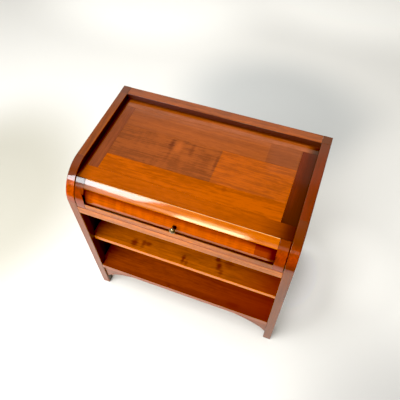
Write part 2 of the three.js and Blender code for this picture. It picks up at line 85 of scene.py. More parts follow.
# The places that most pieces share: the posts, and the centre line and the outer radius of the curve.
INNER, HALF = extent("right_front_post", 0)
FRONT, POST_BACK = extent("left_front_post", 1)
POST_TOP = high("left_front_post")[2]
REAR = low("left_rear_post")[1]
RIM = high("left_rear_post")[2]
CURVE_Z = POST_TOP + SEAM
CURVE_Y = FRONT + RIM - CURVE_Z
RADIUS = RIM - CURVE_Z
BEND_THICK = POST_BACK - FRONT
BETWEEN_POSTS = (SEAM - INNER, INNER - SEAM)
SIDES = (("left", -1), ("right", 1))

# Limits of the surfaces: corners that stay unrounded, turns too small to solve, notches too small to
# cut, edges that stay sharp, and the steps round a turned piece.
ALMOST_STRAIGHT = math.radians(164)
SMALLEST_TURN = 0.08
NO_NOTCH = 0.001 * MM
SHARP_FROM = math.radians(38)
LATHE_STEPS = 40


# ---------------------------------------------------------------- settings


class DeskSizes(bpy.types.PropertyGroup):
    """Sizes of the softened edges and of the turned knob."""

    post_arris: bpy.props.FloatProperty(
        name="Post arris", description="Rounding along the posts and the rim",
        default=2.2 * MM, min=0.0, unit="LENGTH")
    rail_arris: bpy.props.FloatProperty(
        name="Rail arris", description="Rounding along rails, shelves and the flap's frame",
        default=1.3 * MM, min=0.0, unit="LENGTH")
    board_arris: bpy.props.FloatProperty(
        name="Board arris", description="Easing where glued boards and joints meet",
        default=0.25 * MM, min=0.0, unit="LENGTH")
    sill_arris: bpy.props.FloatProperty(
        name="Sill arris", description="Rounding of the sill rail's lower front edge",
        default=3.6 * MM, min=0.0, unit="LENGTH")
    flap_top_rail: bpy.props.FloatProperty(
        name="Flap top rail", description="Width of the flap's upper rail along its curve",
        default=35 * MM, min=0.01, unit="LENGTH")
    bevel_width: bpy.props.FloatProperty(
        name="Panel bevel", description="Width of the bevel round the flap's raised panel",
        default=15 * MM, min=0.001, unit="LENGTH")
    bevel_depth: bpy.props.FloatProperty(
        name="Bevel depth", description="How far the bevel falls at the frame",
        default=4.5 * MM, min=0.0, unit="LENGTH")
    field_depth: bpy.props.FloatProperty(
        name="Field depth", description="How far the raised field lies below the flap's frame",
        default=3 * MM, min=0.0, unit="LENGTH")
    knob_drop: bpy.props.FloatProperty(
        name="Knob drop",
        description="How far the knob sits below the middle of the panel, along the curve",
        default=4 * MM, min=0.0, unit="LENGTH")
    knob_reach: bpy.props.FloatProperty(
        name="Knob reach", description="From the panel's field to the knob's crown",
        default=24 * MM, min=18 * MM, unit="LENGTH")


class DeskColours(bpy.types.PropertyGroup):
    """Colours of the woods, metals and floor, and of the painted shade, sheen and highlight, as linear
    values.
    """

    amber: bpy.props.FloatVectorProperty(
        name="Amber cherry", description="The brightest boards of the top",
        subtype="COLOR", default=(0.31, 0.056, 0.0012), min=0.0, max=1.0)
    russet: bpy.props.FloatVectorProperty(
        name="Russet cherry", description="The redder brown boards",
        subtype="COLOR", default=(0.24, 0.050, 0.006), min=0.0, max=1.0)
    walnut: bpy.props.FloatVectorProperty(
        name="Dark cherry", description="The darkest boards and shadows in the grain",
        subtype="COLOR", default=(0.07, 0.012, 0.0015), min=0.0, max=1.0)
    honey: bpy.props.FloatVectorProperty(
        name="Honey cherry", description="The light rails and shelf edges of the front",
        subtype="COLOR", default=(0.58, 0.145, 0.006), min=0.0, max=1.0)
    garnet: bpy.props.FloatVectorProperty(
        name="Garnet cherry", description="The red wood of the bent corners and the flap's stiles",
        subtype="COLOR", default=(0.36, 0.038, 0.001), min=0.0, max=1.0)
    # Painted sheen: a pale painted reflection of the bright floor, on the foot of the flap's panel, the
    # sill's upper edge, the bottom shelf's front and the top's back rail.
    painted_sheen: bpy.props.FloatVectorProperty(
        name="Bloomed polish", description="Polish gone pale along the foot of the flap's panel",
        subtype="COLOR", default=(0.38, 0.115, 0.055), min=0.0, max=1.0)
    # A near-black brown: painted shade in the flap's recesses, along the right wall of the recessed top
    # and on the shelves, and also the dark tone of some boards of the top.
    dark_tone_and_shade: bpy.props.FloatVectorProperty(
        name="Old polish", description="Polish that has darkened in the recesses of the flap",
        subtype="COLOR", default=(0.050, 0.004, 0.002), min=0.0, max=1.0)
    flame: bpy.props.FloatVectorProperty(
        name="Flame cherry", description="The flap's raised panel",
        subtype="COLOR", default=(0.45, 0.072, 0.001), min=0.0, max=1.0)
    # Painted highlight: the pale line along the flap's upper arris, where its rounded edge catches the
    # light.
    wear_and_highlight: bpy.props.FloatVectorProperty(
        name="Worn edge", description="Bare wood where the flap's upper edge is rubbed",
        subtype="COLOR", default=(0.74, 0.38, 0.14), min=0.0, max=1.0)
    # Painted shade with a faint grey sheen, on the inner face of the rim's back rail and along the back of
    # the recessed top.
    shade_with_sheen: bpy.props.FloatVectorProperty(
        name="Dusty shadow", description="Dulled polish on the inner face of the rim's back rail",
        subtype="COLOR", default=(0.060, 0.0165, 0.0175), min=0.0, max=1.0)
    # Painted shade: the dark brown laid inside the bays, on the walls of the recessed top, on the flap's
    # inner edges and ledge, and in the left wall's shadow on the top.
    painted_shade: bpy.props.FloatVectorProperty(
        name="Dark stain", description="The stained faces inside the bays",
        subtype="COLOR", default=(0.035, 0.006, 0.002), min=0.0, max=1.0)
    ply: bpy.props.FloatVectorProperty(
        name="Back panel", description="The plain stained back panel",
        subtype="COLOR", default=(0.22, 0.070, 0.020), min=0.0, max=1.0)
    brass: bpy.props.FloatVectorProperty(
        name="Old brass", description="The knob, the pins and their bushes",
        subtype="COLOR", default=(0.42, 0.32, 0.20), min=0.0, max=1.0)
    floor: bpy.props.FloatVectorProperty(
        name="Floor", description="The pale studio floor",
        subtype="COLOR", default=(0.77, 0.758, 0.712), min=0.0, max=1.0)


class DeskStudio(bpy.types.PropertyGroup):
    """Strengths of the studio lights."""

    overhead: bpy.props.FloatProperty(
        name="Overhead", description="Power of the soft light above, in watts", default=111.0, min=0.0)
    window: bpy.props.FloatProperty(
        name="Window", description="Power of the soft light at the front left, in watts",
        default=120.0, min=0.0)
    glint: bpy.props.FloatProperty(
        name="Glint", description="Radiance of the window panes that the varnish mirrors",
        default=17.0, min=0.0)
    sky: bpy.props.FloatProperty(
        name="Surroundings", description="Brightness of the room around", default=0.45, min=0.0)


# ---------------------------------------------------------------- outlines and carried shapes


def bend_arc(radius, start, end, steps):
    """Points (y, z) of an arc about the curve's centre line: centre + radius (-cos a, sin a).

    The angle a runs from start to end, up from the front.
    """
    angle = np.linspace(start, end, steps + 1)
    return np.stack([CURVE_Y - radius * np.cos(angle), CURVE_Z + radius * np.sin(angle)], axis=1)


def bend_ring(start, end, thick, steps):
    """A part of a ring about the curve's centre line: the outer arc up, and the inner arc back down."""
    inner = bend_arc(RADIUS - thick, end, start, steps)
    return np.concatenate([bend_arc(RADIUS, start, end, steps), inner])


def eased(outline, radius, steps=4):
    """Rounds an outline's corners: each gives way to an arc of its own radius that meets both edges.

    With u and v the unit vectors to the two neighbours and t the angle between them, the arc's centre
    is the corner + (u + v) / |u + v| * r / sin(t / 2). Its points turn evenly between the two feet.
    Corners that are almost straight stay as they are.
    """
    points = np.asarray(outline, float)
    radius = np.broadcast_to(np.asarray(radius, float), len(points))
    u = np.roll(points, 1, axis=0) - points
    v = np.roll(points, -1, axis=0) - points
    u /= np.linalg.norm(u, axis=1, keepdims=True)
    v /= np.linalg.norm(v, axis=1, keepdims=True)
    half = np.arccos(np.clip((u * v).sum(1), -1, 1)) / 2
    rounded = (radius > 0) & (half < ALMOST_STRAIGHT / 2)
    safe = np.where(rounded, half, 1.0)
    r = np.where(rounded, radius, 0.0)[:, None]
    middle = u + v
    middle /= np.maximum(np.linalg.norm(middle, axis=1, keepdims=True), 1e-9)
    centre = points + middle * r / np.sin(safe)[:, None]
    foot_u = points + u * r / np.tan(safe)[:, None] - centre
    foot_v = points + v * r / np.tan(safe)[:, None] - centre
    sweep = (math.pi - 2 * safe)[:, None]
    s = np.linspace(0, 1, steps + 1)[None, :]
    share_u = np.sin((1 - s) * sweep) / np.sin(sweep)
    share_v = np.sin(s * sweep) / np.sin(sweep)
    arcs = centre[:, None] + share_u[..., None] * foot_u[:, None] + share_v[..., None] * foot_v[:, None]
    arcs[~rounded, 0] = points[~rounded]
    return arcs[rounded[:, None] | (np.arange(steps + 1)[None, :] == 0)]


def rectangle(first, second):
    """A rectangle between two pairs of values."""
    (left, right), (bottom, top) = first, second
    return np.array([(left, bottom), (right, bottom), (right, top), (left, top)])


def drawn_in(outline, held=None):
    """How each point of an outline moves when the outline draws in by one unit; held edges stay put.

    The move m of a point between edges with outward normals n1 and n2 meets m.n1 = -w1 and m.n2 = -w2,
    where w is 0 on a held edge and 1 elsewhere.
    """
    ahead = np.roll(outline, -1, axis=0) - outline
    normal = np.stack([ahead[:, 1], -ahead[:, 0]], axis=1)
    normal /= np.linalg.norm(normal, axis=1, keepdims=True)
    weight = np.ones(len(outline)) if held is None else 1.0 - np.asarray(held, float)
    before, w_before = np.roll(normal, 1, axis=0), np.roll(weight, 1)
    det = before[:, 0] * normal[:, 1] - before[:, 1] * normal[:, 0]
    flat = np.abs(det) < SMALLEST_TURN
    safe = np.where(flat, 1.0, det)
    solved = np.stack([
        (-w_before * normal[:, 1] + weight * before[:, 1]) / safe,
        (w_before * normal[:, 0] - weight * before[:, 0]) / safe,
    ], axis=1)
    inward = -(before + normal) / (1 + (before * normal).sum(1))[:, None]
    return np.where(flat[:, None], inward * np.minimum(weight, w_before)[:, None], solved)


def carried(outline, axis, start, end, arris, held=None, steps=4):
    """A closed bar: an outline carried along an axis, drawn in near both ends to round its arrises.

    The outline's own two axes are the ones that follow `axis` in the order x, y, z, x. At a distance
    a (1 - cos t) from an end it is drawn in by a (1 - sin t), with t running from 0 to 90 degrees.
    """
    outline = np.asarray(outline, float)
    following = np.roll(outline, -1, axis=0)
    if (outline[:, 0] * following[:, 1] - following[:, 0] * outline[:, 1]).sum() < 0:
        outline = outline[::-1]
        held = None if held is None else np.roll(np.asarray(held)[::-1], -1)
    t = np.linspace(0, math.pi / 2, steps + 1)
    along = np.concatenate([start + arris * (1 - np.cos(t)), end - arris * (1 - np.cos(t[::-1]))])
    inset = arris * np.concatenate([1 - np.sin(t), 1 - np.sin(t[::-1])])
    rings = outline[None] + drawn_in(outline, held)[None] * inset[:, None, None]
    points = np.empty((len(along), len(outline), 3))
    points[..., axis] = along[:, None]
    points[..., (axis + 1) % 3] = rings[..., 0]
    points[..., (axis + 2) % 3] = rings[..., 1]
    return points.reshape(-1, 3), tube_faces(*points.shape[:2])


def bar(node, axis, arris, ends, span=None, steps=4):
    """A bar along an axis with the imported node's own section, as long as the node or as a given span."""
    section = rectangle(extent(node, (axis + 1) % 3), extent(node, (axis + 2) % 3))
    start, end = span or extent(node, axis)
    return carried(eased(section, arris, steps), axis, start, end, ends, steps=steps)


def grid_faces(rows, columns, closed=False):
    """Four-sided faces of a grid of points, wrapped round in its columns when closed."""
    index = np.arange(rows * columns).reshape(rows, columns)
    across = np.roll(index, -1, axis=1) if closed else index[:, 1:]
    here = index if closed else index[:, :-1]
    return np.stack([here[:-1], across[:-1], across[1:], here[1:]], axis=-1).reshape(-1, 4)


def tube_faces(rings, count):
    """The faces of a tube of rings of points, with one face over each of its two ends."""
    index = np.arange(rings * count).reshape(rings, count)
    return grid_faces(rings, count, closed=True).tolist() + [index[0, ::-1].tolist(), index[-1].tolist()]


def lathe(profile, foot, direction):
    """A turned piece: the profile's radii and heights carried round an axis from `foot` along `direction`.

    A point is foot + h d + r (cos a e1 + sin a e2), with a running once round and e1, e2, d right-handed.
    """
    d = Vector(direction).normalized()
    e1 = d.orthogonal().normalized()
    e2 = d.cross(e1)
    angle = np.linspace(0, 2 * math.pi, LATHE_STEPS, endpoint=False)
    ring = np.cos(angle)[:, None] * np.array(e1) + np.sin(angle)[:, None] * np.array(e2)
    radius, height = profile[:, 0, None, None], profile[:, 1, None, None]
    points = np.array(foot) + height * np.array(d) + radius * ring[None]
    return points.reshape(-1, 3), tube_faces(len(profile), LATHE_STEPS)


# ---------------------------------------------------------------- pieces


def placed(name, shape, material):
    """Puts a shape into the scene as a new object with one material."""
    points, faces = shape
    mesh = bpy.data.meshes.new(name)
    mesh.from_pydata(np.asarray(points).tolist(), [], faces)
    mesh.materials.append(material)
    made = bpy.data.objects.new(name, mesh)
    bpy.context.scene.collection.objects.link(made)
    return made


def add_piece(node, shape, material, body="carcass", name=None, shadow=None):
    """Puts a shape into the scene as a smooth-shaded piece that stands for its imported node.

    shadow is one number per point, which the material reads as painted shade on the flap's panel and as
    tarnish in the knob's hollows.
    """
    piece = placed(name or f"{node}_wood", shape, material)
    mesh = piece.data
    if shadow is not None:
        values = mesh.attributes.new("shadow", "FLOAT", "POINT").data
        values.foreach_set("value", np.asarray(shadow, np.float32))
    mesh.shade_smooth()
    mesh.set_sharp_from_angle(angle=SHARP_FROM)
    weighted = piece.modifiers.new("Flat faces stay flat", "WEIGHTED_NORMAL")
    weighted.keep_sharp = True
    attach(piece, body)
    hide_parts(node)


# ---------------------------------------------------------------- materials


class Finish:
    """The node tree of a new material or world, with short ways to add nodes and join them."""

    def __init__(self, owner):
        self.owner = owner
        owner.use_nodes = True
        self.tree = owner.node_tree
        self.tree.nodes.clear()

    def add(self, kind, inputs=None, **settings):
        node = self.tree.nodes.new("ShaderNode" + kind)
        for key, value in settings.items():
            setattr(node, key, value)
        for key, value in (inputs or {}).items():
            if isinstance(value, bpy.types.NodeSocket):
                self.tree.links.new(value, node.inputs[key])
            else:
                node.inputs[key].default_value = value
        return node

    def where(self, output="Object"):
        return self.add("TexCoord").outputs[output]

    def shadow(self):
        """The piece's own "shadow" attribute."""
        return self.add("Attribute", attribute_name="shadow").outputs["Fac"]

    def math(self, operation, first, second=0.0, clamp=False):
        return self.add("Math", {0: first, 1: second}, operation=operation, use_clamp=clamp).outputs[0]

    def total(self, first, *others, clamp=False):
        """The sum of several values, held between 0 and 1 at the end when clamped."""
        for other in others:
            first = self.math("ADD", first, other, clamp and other is others[-1])
        return first

    def swing(self, value, amount):
        """How far a value lies from one half, times an amount."""
        return self.math("MULTIPLY", self.math("SUBTRACT", value, 0.5), amount)

    def vector(self, operation, first, second=(0.0, 0.0, 0.0)):
        """A vector, or a single value for LENGTH and DOT_PRODUCT."""
        node = self.add("VectorMath", {0: first, 1: second}, operation=operation)
        return node.outputs[int(operation in ("LENGTH", "DOT_PRODUCT"))]

    def noise(self, vector, scale=1.0, detail=2.0, roughness=0.5):
        inputs = {"Vector": vector, "Scale": scale, "Detail": detail, "Roughness": roughness}
        return self.add("TexNoise", inputs).outputs["Fac"]

    def mix(self, factor, first, second):
        return self.add("Mix", {0: factor, 6: rgba(first), 7: rgba(second)}, data_type="RGBA").outputs[2]

    def ramp(self, factor, *stops):
        """A grey ramp through (position, value) stops."""
        node = self.add("ValToRGB", {0: factor})
        elements = node.color_ramp.elements
        while len(elements) < len(stops):
            elements.new(0.5)
        for element, (position, value) in zip(elements, stops):
            element.position = position
            element.color = rgba((value, value, value))
        return node.outputs[0]

    def span(self, value, start, end, low=0.0, high=1.0, kind="SMOOTHSTEP"):
        """The low value at start, the high value at end, and smooth or linear between."""
        inputs = {"Value": value, 1: start, 2: end, 3: low, 4: high}
        return self.add("MapRange", inputs, interpolation_type=kind).outputs[0]

    def bump(self, height, strength, distance, **more):
        inputs = {"Height": height, "Strength": strength, "Distance": distance, **more}
        return self.add("Bump", inputs).outputs[0]

    def surface(self, **inputs):
        """Ends the tree in a Principled surface, with the given inputs."""
        named = {key.replace("_", " "): value for key, value in inputs.items()}
        self.add("OutputMaterial", {0: self.add("BsdfPrincipled", named).outputs[0]})
        return self.owner


def rgba(colour):
    """A colour with its fourth number, or a socket as it is."""
    return colour if isinstance(colour, bpy.types.NodeSocket) else (*tuple(colour)[:3], 1.0)


def blended(first, second, share):
    """A colour between two."""
    return tuple(a + (b - a) * share for a, b in zip(first, second))


def dimmed(colour, share):
    """A colour times a number, or times one number for each of its three."""
    return tuple(float(v) for v in np.multiply(tuple(colour), share))


def tones():
    """The colours set by the user."""
    return bpy.context.scene.desk_colours


GRAIN_TURNS = {"x": (0, 0, 0), "y": (0, 0, -math.pi / 2), "z": (0, math.pi / 2, 0)}

# The noises of the wood: waves per metre along the grain and across it, detail and roughness.
WOOD_NOISES = (
    (2.2, 9.0, 2.0, 0.5),  # how the rings waver
    (4.0, 26.0, 3.0, 0.6),  # slow patches of tone
    (9.0, 520.0, 2.0, 0.6),  # fibres
    (2.5, 130.0, 2.0, 0.55),  # streaks
    (32.0, 120.0, 2.0, 0.6),  # flecks
    (55.0, 1700.0, 1.0, 0.5),  # pores
    (14.0, 38.0, 1.0, 0.5),  # waves of the planed and varnished face
)
RING_WAVER = 55 * MM

# How the shade swings about its middle with the patches, streaks, fibres, flecks and late wood.
SHADE_MIDDLE = 0.55
SHADE_SWINGS = (1.5, 1.3, 0.7, 1.1, -0.35)

# The colour of a knot and of a pale mark, as shares of the dark wood and of the light wood.
KNOT_SHARE = (0.42, 0.2, 0.3)
PALE_SHARE = 1.25

# How far dark cherry is blended into the light colour of the framing, where its grain is dark.
FRAME_DARK = 0.72


def cherry(name, light, dark, grain="x", start=(0.0, 0.0, 0.0), contrast=1.0, ring=7 * MM, staves=(),
           marks=(), curl=None, inside=None, stains=(), shadowed=None, highlit_arris=None, gloss=0.5,
           coat_blur=0.09, sheen=0.12):
    """Varnished cherry. The rings are arcs round a pith line that runs along the grain below the board,
    wavering with a slow noise. Over them lie fine fibres, pores and slow patches of tone.

    dark is a colour, or how far dark cherry is blended into light. staves are (x, light, share): beyond
    that x the board is another stave. marks are (centre, radii, depth): small dark ellipses, or pale ones
    where depth is below zero. curl is (start, end, amount): bars of curly figure across the grain between
    two places in x. inside is (half width, y, colour): painted shade on the faces that look inwards.
    stains are (axis, start, end, colour): a tint that is full from end on, along that
    axis, or along the angle about the curve's centre line when the axis is "bend". Some are the wood's
    own stains and tones, and the rest painted shade and painted sheen. shadowed is the colour where the
    "shadow" attribute is 1, as painted shade. highlit_arris is (angle, colour): a painted highlight
    along the outer arris that ends the curve at that angle. gloss and coat_blur are the varnish, and
    sheen is the wood under it.
    """
    tree = Finish(bpy.data.materials.new(name))
    where = tree.where()
    across = tree.add("SeparateXYZ", {0: where}).outputs
    place = tree.add(
        "Mapping", {"Vector": where, "Location": start, "Rotation": GRAIN_TURNS[grain]}).outputs[0]
    slow, patches, fibres, streaks, flecks, pores, waves = (
        tree.noise(tree.vector("MULTIPLY", place, (along, over, over)), 1.0, detail, roughness)
        for along, over, detail, roughness in WOOD_NOISES)

    radius = tree.vector("LENGTH", tree.vector("MULTIPLY", place, (0.0, 1.0, 1.0)))
    turns = tree.math("DIVIDE", tree.total(radius, tree.math("MULTIPLY", slow, RING_WAVER)), ring)
    late = tree.ramp(tree.math("FRACT", turns), (0.0, 0.25), (0.55, 0.5), (0.9, 1.0), (1.0, 0.25))
    parts = [tree.swing(part, swing * contrast)
             for part, swing in zip((patches, streaks, fibres, flecks, late), SHADE_SWINGS)]
    if curl:
        first, last, amount = curl
        sideways = tree.vector("ADD", tree.vector("MULTIPLY", place, (48.0, 9.0, 9.0)), (3.1, 0.0, 0.0))
        bars = tree.swing(tree.noise(sideways, 1.0, 2.5, 0.55), amount)
        begins = tree.span(across[0], first, first + 30 * MM)
        ends = tree.span(across[0], last + 4 * MM, last)
        parts.append(tree.math("MULTIPLY", bars, tree.math("MULTIPLY", begins, ends)))
    shade = tree.total(SHADE_MIDDLE, *parts, clamp=True)

    dark = blended(light, tones().walnut, dark) if isinstance(dark, float) else dark
    colour = tree.mix(shade, dark, light)
    for edge, stave, share in staves:
        other = tree.mix(shade, blended(stave, tones().walnut, share), stave)
        colour = tree.mix(tree.span(across[0], edge - 0.5 * MM, edge + 0.5 * MM), colour, other)
    for centre, radii, depth in marks:
        offset = tree.vector("DIVIDE", tree.vector("SUBTRACT", where, centre), radii)
        ragged = tree.swing(streaks, 1.6), tree.swing(patches, 1.2)
        mark = tree.span(tree.total(tree.vector("LENGTH", offset), *ragged), 1.25, 0.2)
        stain = dimmed(dark, KNOT_SHARE) if depth > 0 else dimmed(light, PALE_SHARE)
        colour = tree.mix(tree.math("MULTIPLY", mark, abs(depth)), colour, stain)
    open_pores = tree.math("MULTIPLY", tree.span(pores, 0.60, 0.72), 0.35)
    colour = tree.mix(open_pores, colour, dimmed(dark, 0.3))
    # Painted shade: faces that look inwards, behind the given depth, turn to the dark colour.
    if inside:
        half_width, depth, stain = inside
        inward = tree.math("LESS_THAN", tree.math("ABSOLUTE", across[0]), half_width)
        deep = tree.span(across[1], depth - 1 * MM, depth + 6 * MM)
        colour = tree.mix(tree.math("MULTIPLY", inward, deep), colour, stain)
    # Tints along an axis or about the curve: the wood's own stains and tones, and painted shade and sheen.
    for axis, clear, full, stain in stains:
        along = about_bend(tree, across)[-1] if axis == "bend" else across[axis]
        colour = tree.mix(tree.span(along, clear, full), colour, stain)
    # A painted highlight: a pale line along the outer arris where the curve ends, for the light that the
    # rounded edge catches.
    if highlit_arris:
        last, stain = highlit_arris
        ahead, above, angle = about_bend(tree, across)
        out = tree.vector("LENGTH", tree.add("CombineXYZ", {0: ahead, 1: above}).outputs[0])
        outer = tree.span(out, RADIUS - 1.5 * MM, RADIUS - 0.8 * MM)
        upper = tree.span(angle, last - 1.6 * MM / RADIUS, last - 0.9 * MM / RADIUS)
        colour = tree.mix(tree.math("MULTIPLY", upper, outer), colour, stain)
    # Painted shade from the shadow attribute: the colour turns to the shadowed colour, and the varnish and
    # the sheen under it lose their reflections there.
    if shadowed:
        depth = tree.shadow()
        colour = tree.mix(depth, colour, shadowed)
        unshaded = tree.span(depth, 0.3, 0.08)
        gloss, sheen = tree.math("MULTIPLY", unshaded, gloss), tree.math("MULTIPLY", unshaded, sheen)

    broad = tree.bump(waves, 1.0, 0.22 * MM)
    relief = tree.math("SUBTRACT", fibres, tree.math("MULTIPLY", open_pores, 1.5))
    return tree.surface(
        Base_Color=colour, Roughness=tree.span(patches, 0.3, 0.7, 0.30, 0.42, "LINEAR"),
        Normal=tree.bump(relief, 0.35, 0.05 * MM, Normal=broad), IOR=1.45, Specular_IOR_Level=sheen,
        Coat_Weight=gloss, Coat_Roughness=coat_blur, Coat_IOR=1.55, Coat_Normal=broad)


def about_bend(tree, across):
    """How far a place lies ahead of the curve's centre line and above it, and its angle about it."""
    ahead = tree.math("SUBTRACT", CURVE_Y, across[1])
    above = tree.math("SUBTRACT", across[2], CURVE_Z)
    return ahead, above, tree.math("ARCTAN2", above, ahead)


def bent(start, end, colour):
    """Painted shade between two angles about the curve's centre line, in degrees."""
    return "bend", math.radians(start), math.radians(end), colour


def marked(height, reach, *rows):
    """Marks on a board's face at a height, from rows of x, y, the radii in x and y, and the depth."""
    return tuple(((x, y, height), (wide, deep, reach), depth) for x, y, wide, deep, depth in rows)


def frame_wood(name, grain, start, share=0.5, inside=None, light=None, **more):
    """Cherry for the framing: from russet to amber, or to dark cherry where share is below zero."""
    c = tones()
    light = light or blended(c.russet, c.amber if share > 0 else c.walnut, abs(share))
    return cherry(name, light, FRAME_DARK, grain, start, inside=inside, **more)


def plywood(name, colour):
    """Stained plywood: wide soft cathedrals under a thin dull seal."""
    return cherry(name, colour, dimmed(colour, 0.45), "z", (0.2, 0.03, 0.5),
                  contrast=0.9, ring=12 * MM, gloss=0.1, coat_blur=0.3)


def old_metal(name, colour, roughness, patina, tarnished=None):
    """Worn metal: a bright base under dark patches of patina, with fine scratches.

    tarnished is the colour it turns where its "shadow" attribute is 1.
    """
    tree = Finish(bpy.data.materials.new(name))
    where = tree.where()
    scratches = tree.noise(tree.vector("MULTIPLY", where, (300.0, 2500.0, 900.0)))
    wear_and_highlight = tree.span(tree.noise(where, 260.0, 4.0, 0.6), 0.38, 0.62)
    shade = tree.mix(wear_and_highlight, dimmed(colour, 1 - patina), colour)
    if tarnished:
        shade = tree.mix(tree.shadow(), shade, tarnished)
    rough = tree.span(wear_and_highlight, 0.0, 1.0, roughness + 0.2, roughness, "LINEAR")
    return tree.surface(Base_Color=shade, Metallic=1.0, Roughness=rough,
                        Normal=tree.bump(scratches, 0.2, 0.04 * MM))


def moulded(name, colour):
    """Dull moulded nylon with a fine pebbled skin."""
    tree = Finish(bpy.data.materials.new(name))
    pebbles = tree.noise(tree.where(), 1400.0)
    return tree.surface(Base_Color=tree.mix(pebbles, colour, dimmed(colour, 1.7)), Roughness=0.55,
                        Normal=tree.bump(pebbles, 0.4, 0.05 * MM))


# ---------------------------------------------------------------- operators

# Where the top's middle board changes to another stave.
STAVE_JOINT = 53.6 * MM

# The marks in the boards that show most: rows of x, y, radii in x and y, and depth, pale below zero.
FRONT_BOARD_MARKS = marked(
    0.699, 0.05,
    (0.106, -0.067, 0.008, 0.020, 0.3),
    (0.058, -0.128, 0.004, 0.010, 0.4),
)
MIDDLE_BOARD_MARKS = marked(
    0.699, 0.05,
    (-0.088, 0.046, 0.016, 0.034, -0.9),
    (-0.113, 0.052, 0.011, 0.026, 0.75),
    (-0.108, 0.010, 0.009, 0.030, 0.35),
    (-0.042, 0.050, 0.010, 0.032, 0.45),
    (-0.072, 0.000, 0.008, 0.030, 0.2),
    (0.015, 0.010, 0.018, 0.050, 0.25),
    (0.049, 0.015, 0.007, 0.045, 0.5),
)
MIDDLE_SHELF_KNOTS = marked(
    0.369, 0.03,
    (-0.192, -0.172, 0.016, 0.020, 0.9),
    (-0.159, -0.165, 0.010, 0.022, 0.7),
    (-0.141, -0.162, 0.015, 0.013, 0.7),
    (0.000, -0.176, 0.009, 0.020, 0.85),
    (0.015, -0.184, 0.008, 0.014, 0.6),
    (0.119, -0.130, 0.010, 0.020, 0.85),
    (0.130, -0.158, 0.012, 0.018, 0.9),
    (0.143, -0.178, 0.009, 0.014, 0.6),
    (0.160, -0.140, 0.020, 0.018, 0.5),
)
BOTTOM_SHELF_KNOTS = marked(
    0.169, 0.03,
    (0.202, -0.200, 0.024, 0.010, 0.6),
    (-0.057, -0.211, 0.012, 0.006, 0.6),
)


class MakeSides(bpy.types.Operator):
    """Makes both framed sides: posts, bent corners, rails and panels"""

    bl_idname = "desk.make_sides"
    bl_label = "Framed sides"

    def execute(self, context):
        sizes, c = context.scene.desk_sizes, tones()
        arris, seam = sizes.post_arris, sizes.board_arris
        # Painted shade on the faces that look into the bays, behind the front.
        inside = (INNER + 0.2 * MM, FRONT + 3 * MM, c.painted_shade)
        # The right side's pieces are darker than the left side's, partly as painted shade where less light
        # reaches.
        tones_by_side = {
            "left": (0.2, blended(c.garnet, c.flame, 0.5), blended(c.russet, c.walnut, 0.28)),
            "right": (-0.25, blended(c.garnet, c.walnut, 0.25), blended(c.garnet, c.dark_tone_and_shade, 0.72)),
        }
        for side, sign in SIDES:
            shift = 0.37 * sign
            post_share, corner_light, rail_light = tones_by_side[side]
            # Painted shade on the inner faces of the corner and the side rail, along the recess.
            shaded_inner_face = (0, sign * (INNER + 0.9 * MM), sign * (INNER + 0.3 * MM), c.painted_shade)
            end_grain = (2, RIM - 1.6 * MM, RIM - 1.2 * MM, blended(c.walnut, c.russet, 0.04))
            # Painted shade on the bent corner: darker from 40 to 54 degrees up, above its highlight, and
            # darker low down towards the front.
            upper = bent(40, 54, blended(c.walnut, c.garnet, 0.08))
            lower = bent(24 + 3 * sign, 4 + 6 * sign, blended(c.garnet, c.walnut, 0.68 + 0.08 * sign))
            pieces = {
                "front_post": (
                    bar(f"{side}_front_post", 2, arris, seam),
                    frame_wood(f"cherry post {side}", "z", (0.3 + shift, 0.02, 0.09), post_share, inside,
                               gloss=0.6)),
                "corner": (
                    bent_corner(f"{side}_corner", arris),
                    frame_wood(f"cherry corner {side}", "y", (0.1 - shift, 0.05, 0.07),
                               light=corner_light, stains=(upper, lower, shaded_inner_face),
                               gloss=0.7, coat_blur=0.05)),
                "top_rail": (
                    bar(f"{side}_top_rail", 1, arris, seam, (CURVE_Y + SEAM, REAR - SEAM)),
                    frame_wood(f"cherry side rail {side}", "y", (0.5 + shift, 0.03, 0.06),
                               light=rail_light, stains=((1, 0.0, 0.32, c.walnut), shaded_inner_face))),
                "rear_post": (
                    bar(f"{side}_rear_post", 2, arris, 1.2 * MM),
                    frame_wood(f"cherry rear post {side}", "z", (0.9 + shift, 0.05, 0.05), 0.0, inside,
                               stains=(end_grain,))),
                "foot_rail": (
                    bar(f"{side}_foot_rail", 1, sizes.rail_arris, seam, (POST_BACK + SEAM, REAR - SEAM)),
                    frame_wood(f"cherry foot rail {side}", "y", (1.3 + shift, 0.05, 0.08), 0.4, inside)),
            }
            for piece, (shape, wood) in pieces.items():
                add_piece(f"{side}_{piece}", shape, wood)
            # Painted shade on the panel's inner face.
            wood = cherry(f"cherry side panel {side}", blended(c.russet, c.amber, 0.6),
                          blended(c.russet, c.walnut, 0.6), "z", (0.2 - shift, 0.04, 0.12),
                          inside=(HALF - 15 * MM, POST_BACK, dimmed(c.painted_shade, 0.4)))
            add_piece(f"{side}_panel", side_panel(side), wood)
        return {"FINISHED"}


def bent_corner(node, arris):
    """A rounded corner: a quarter ring between two radii, carried across the side and rounded over.

    The ring's two ends are joint faces, so they are held while the rest draws in.
    """
    steps = 30
    outline = bend_ring(0, math.pi / 2, BEND_THICK, steps)
    held = np.zeros(len(outline))
    held[[steps, -1]] = 1
    return carried(outline, 0, *extent(node, 0), arris, held)


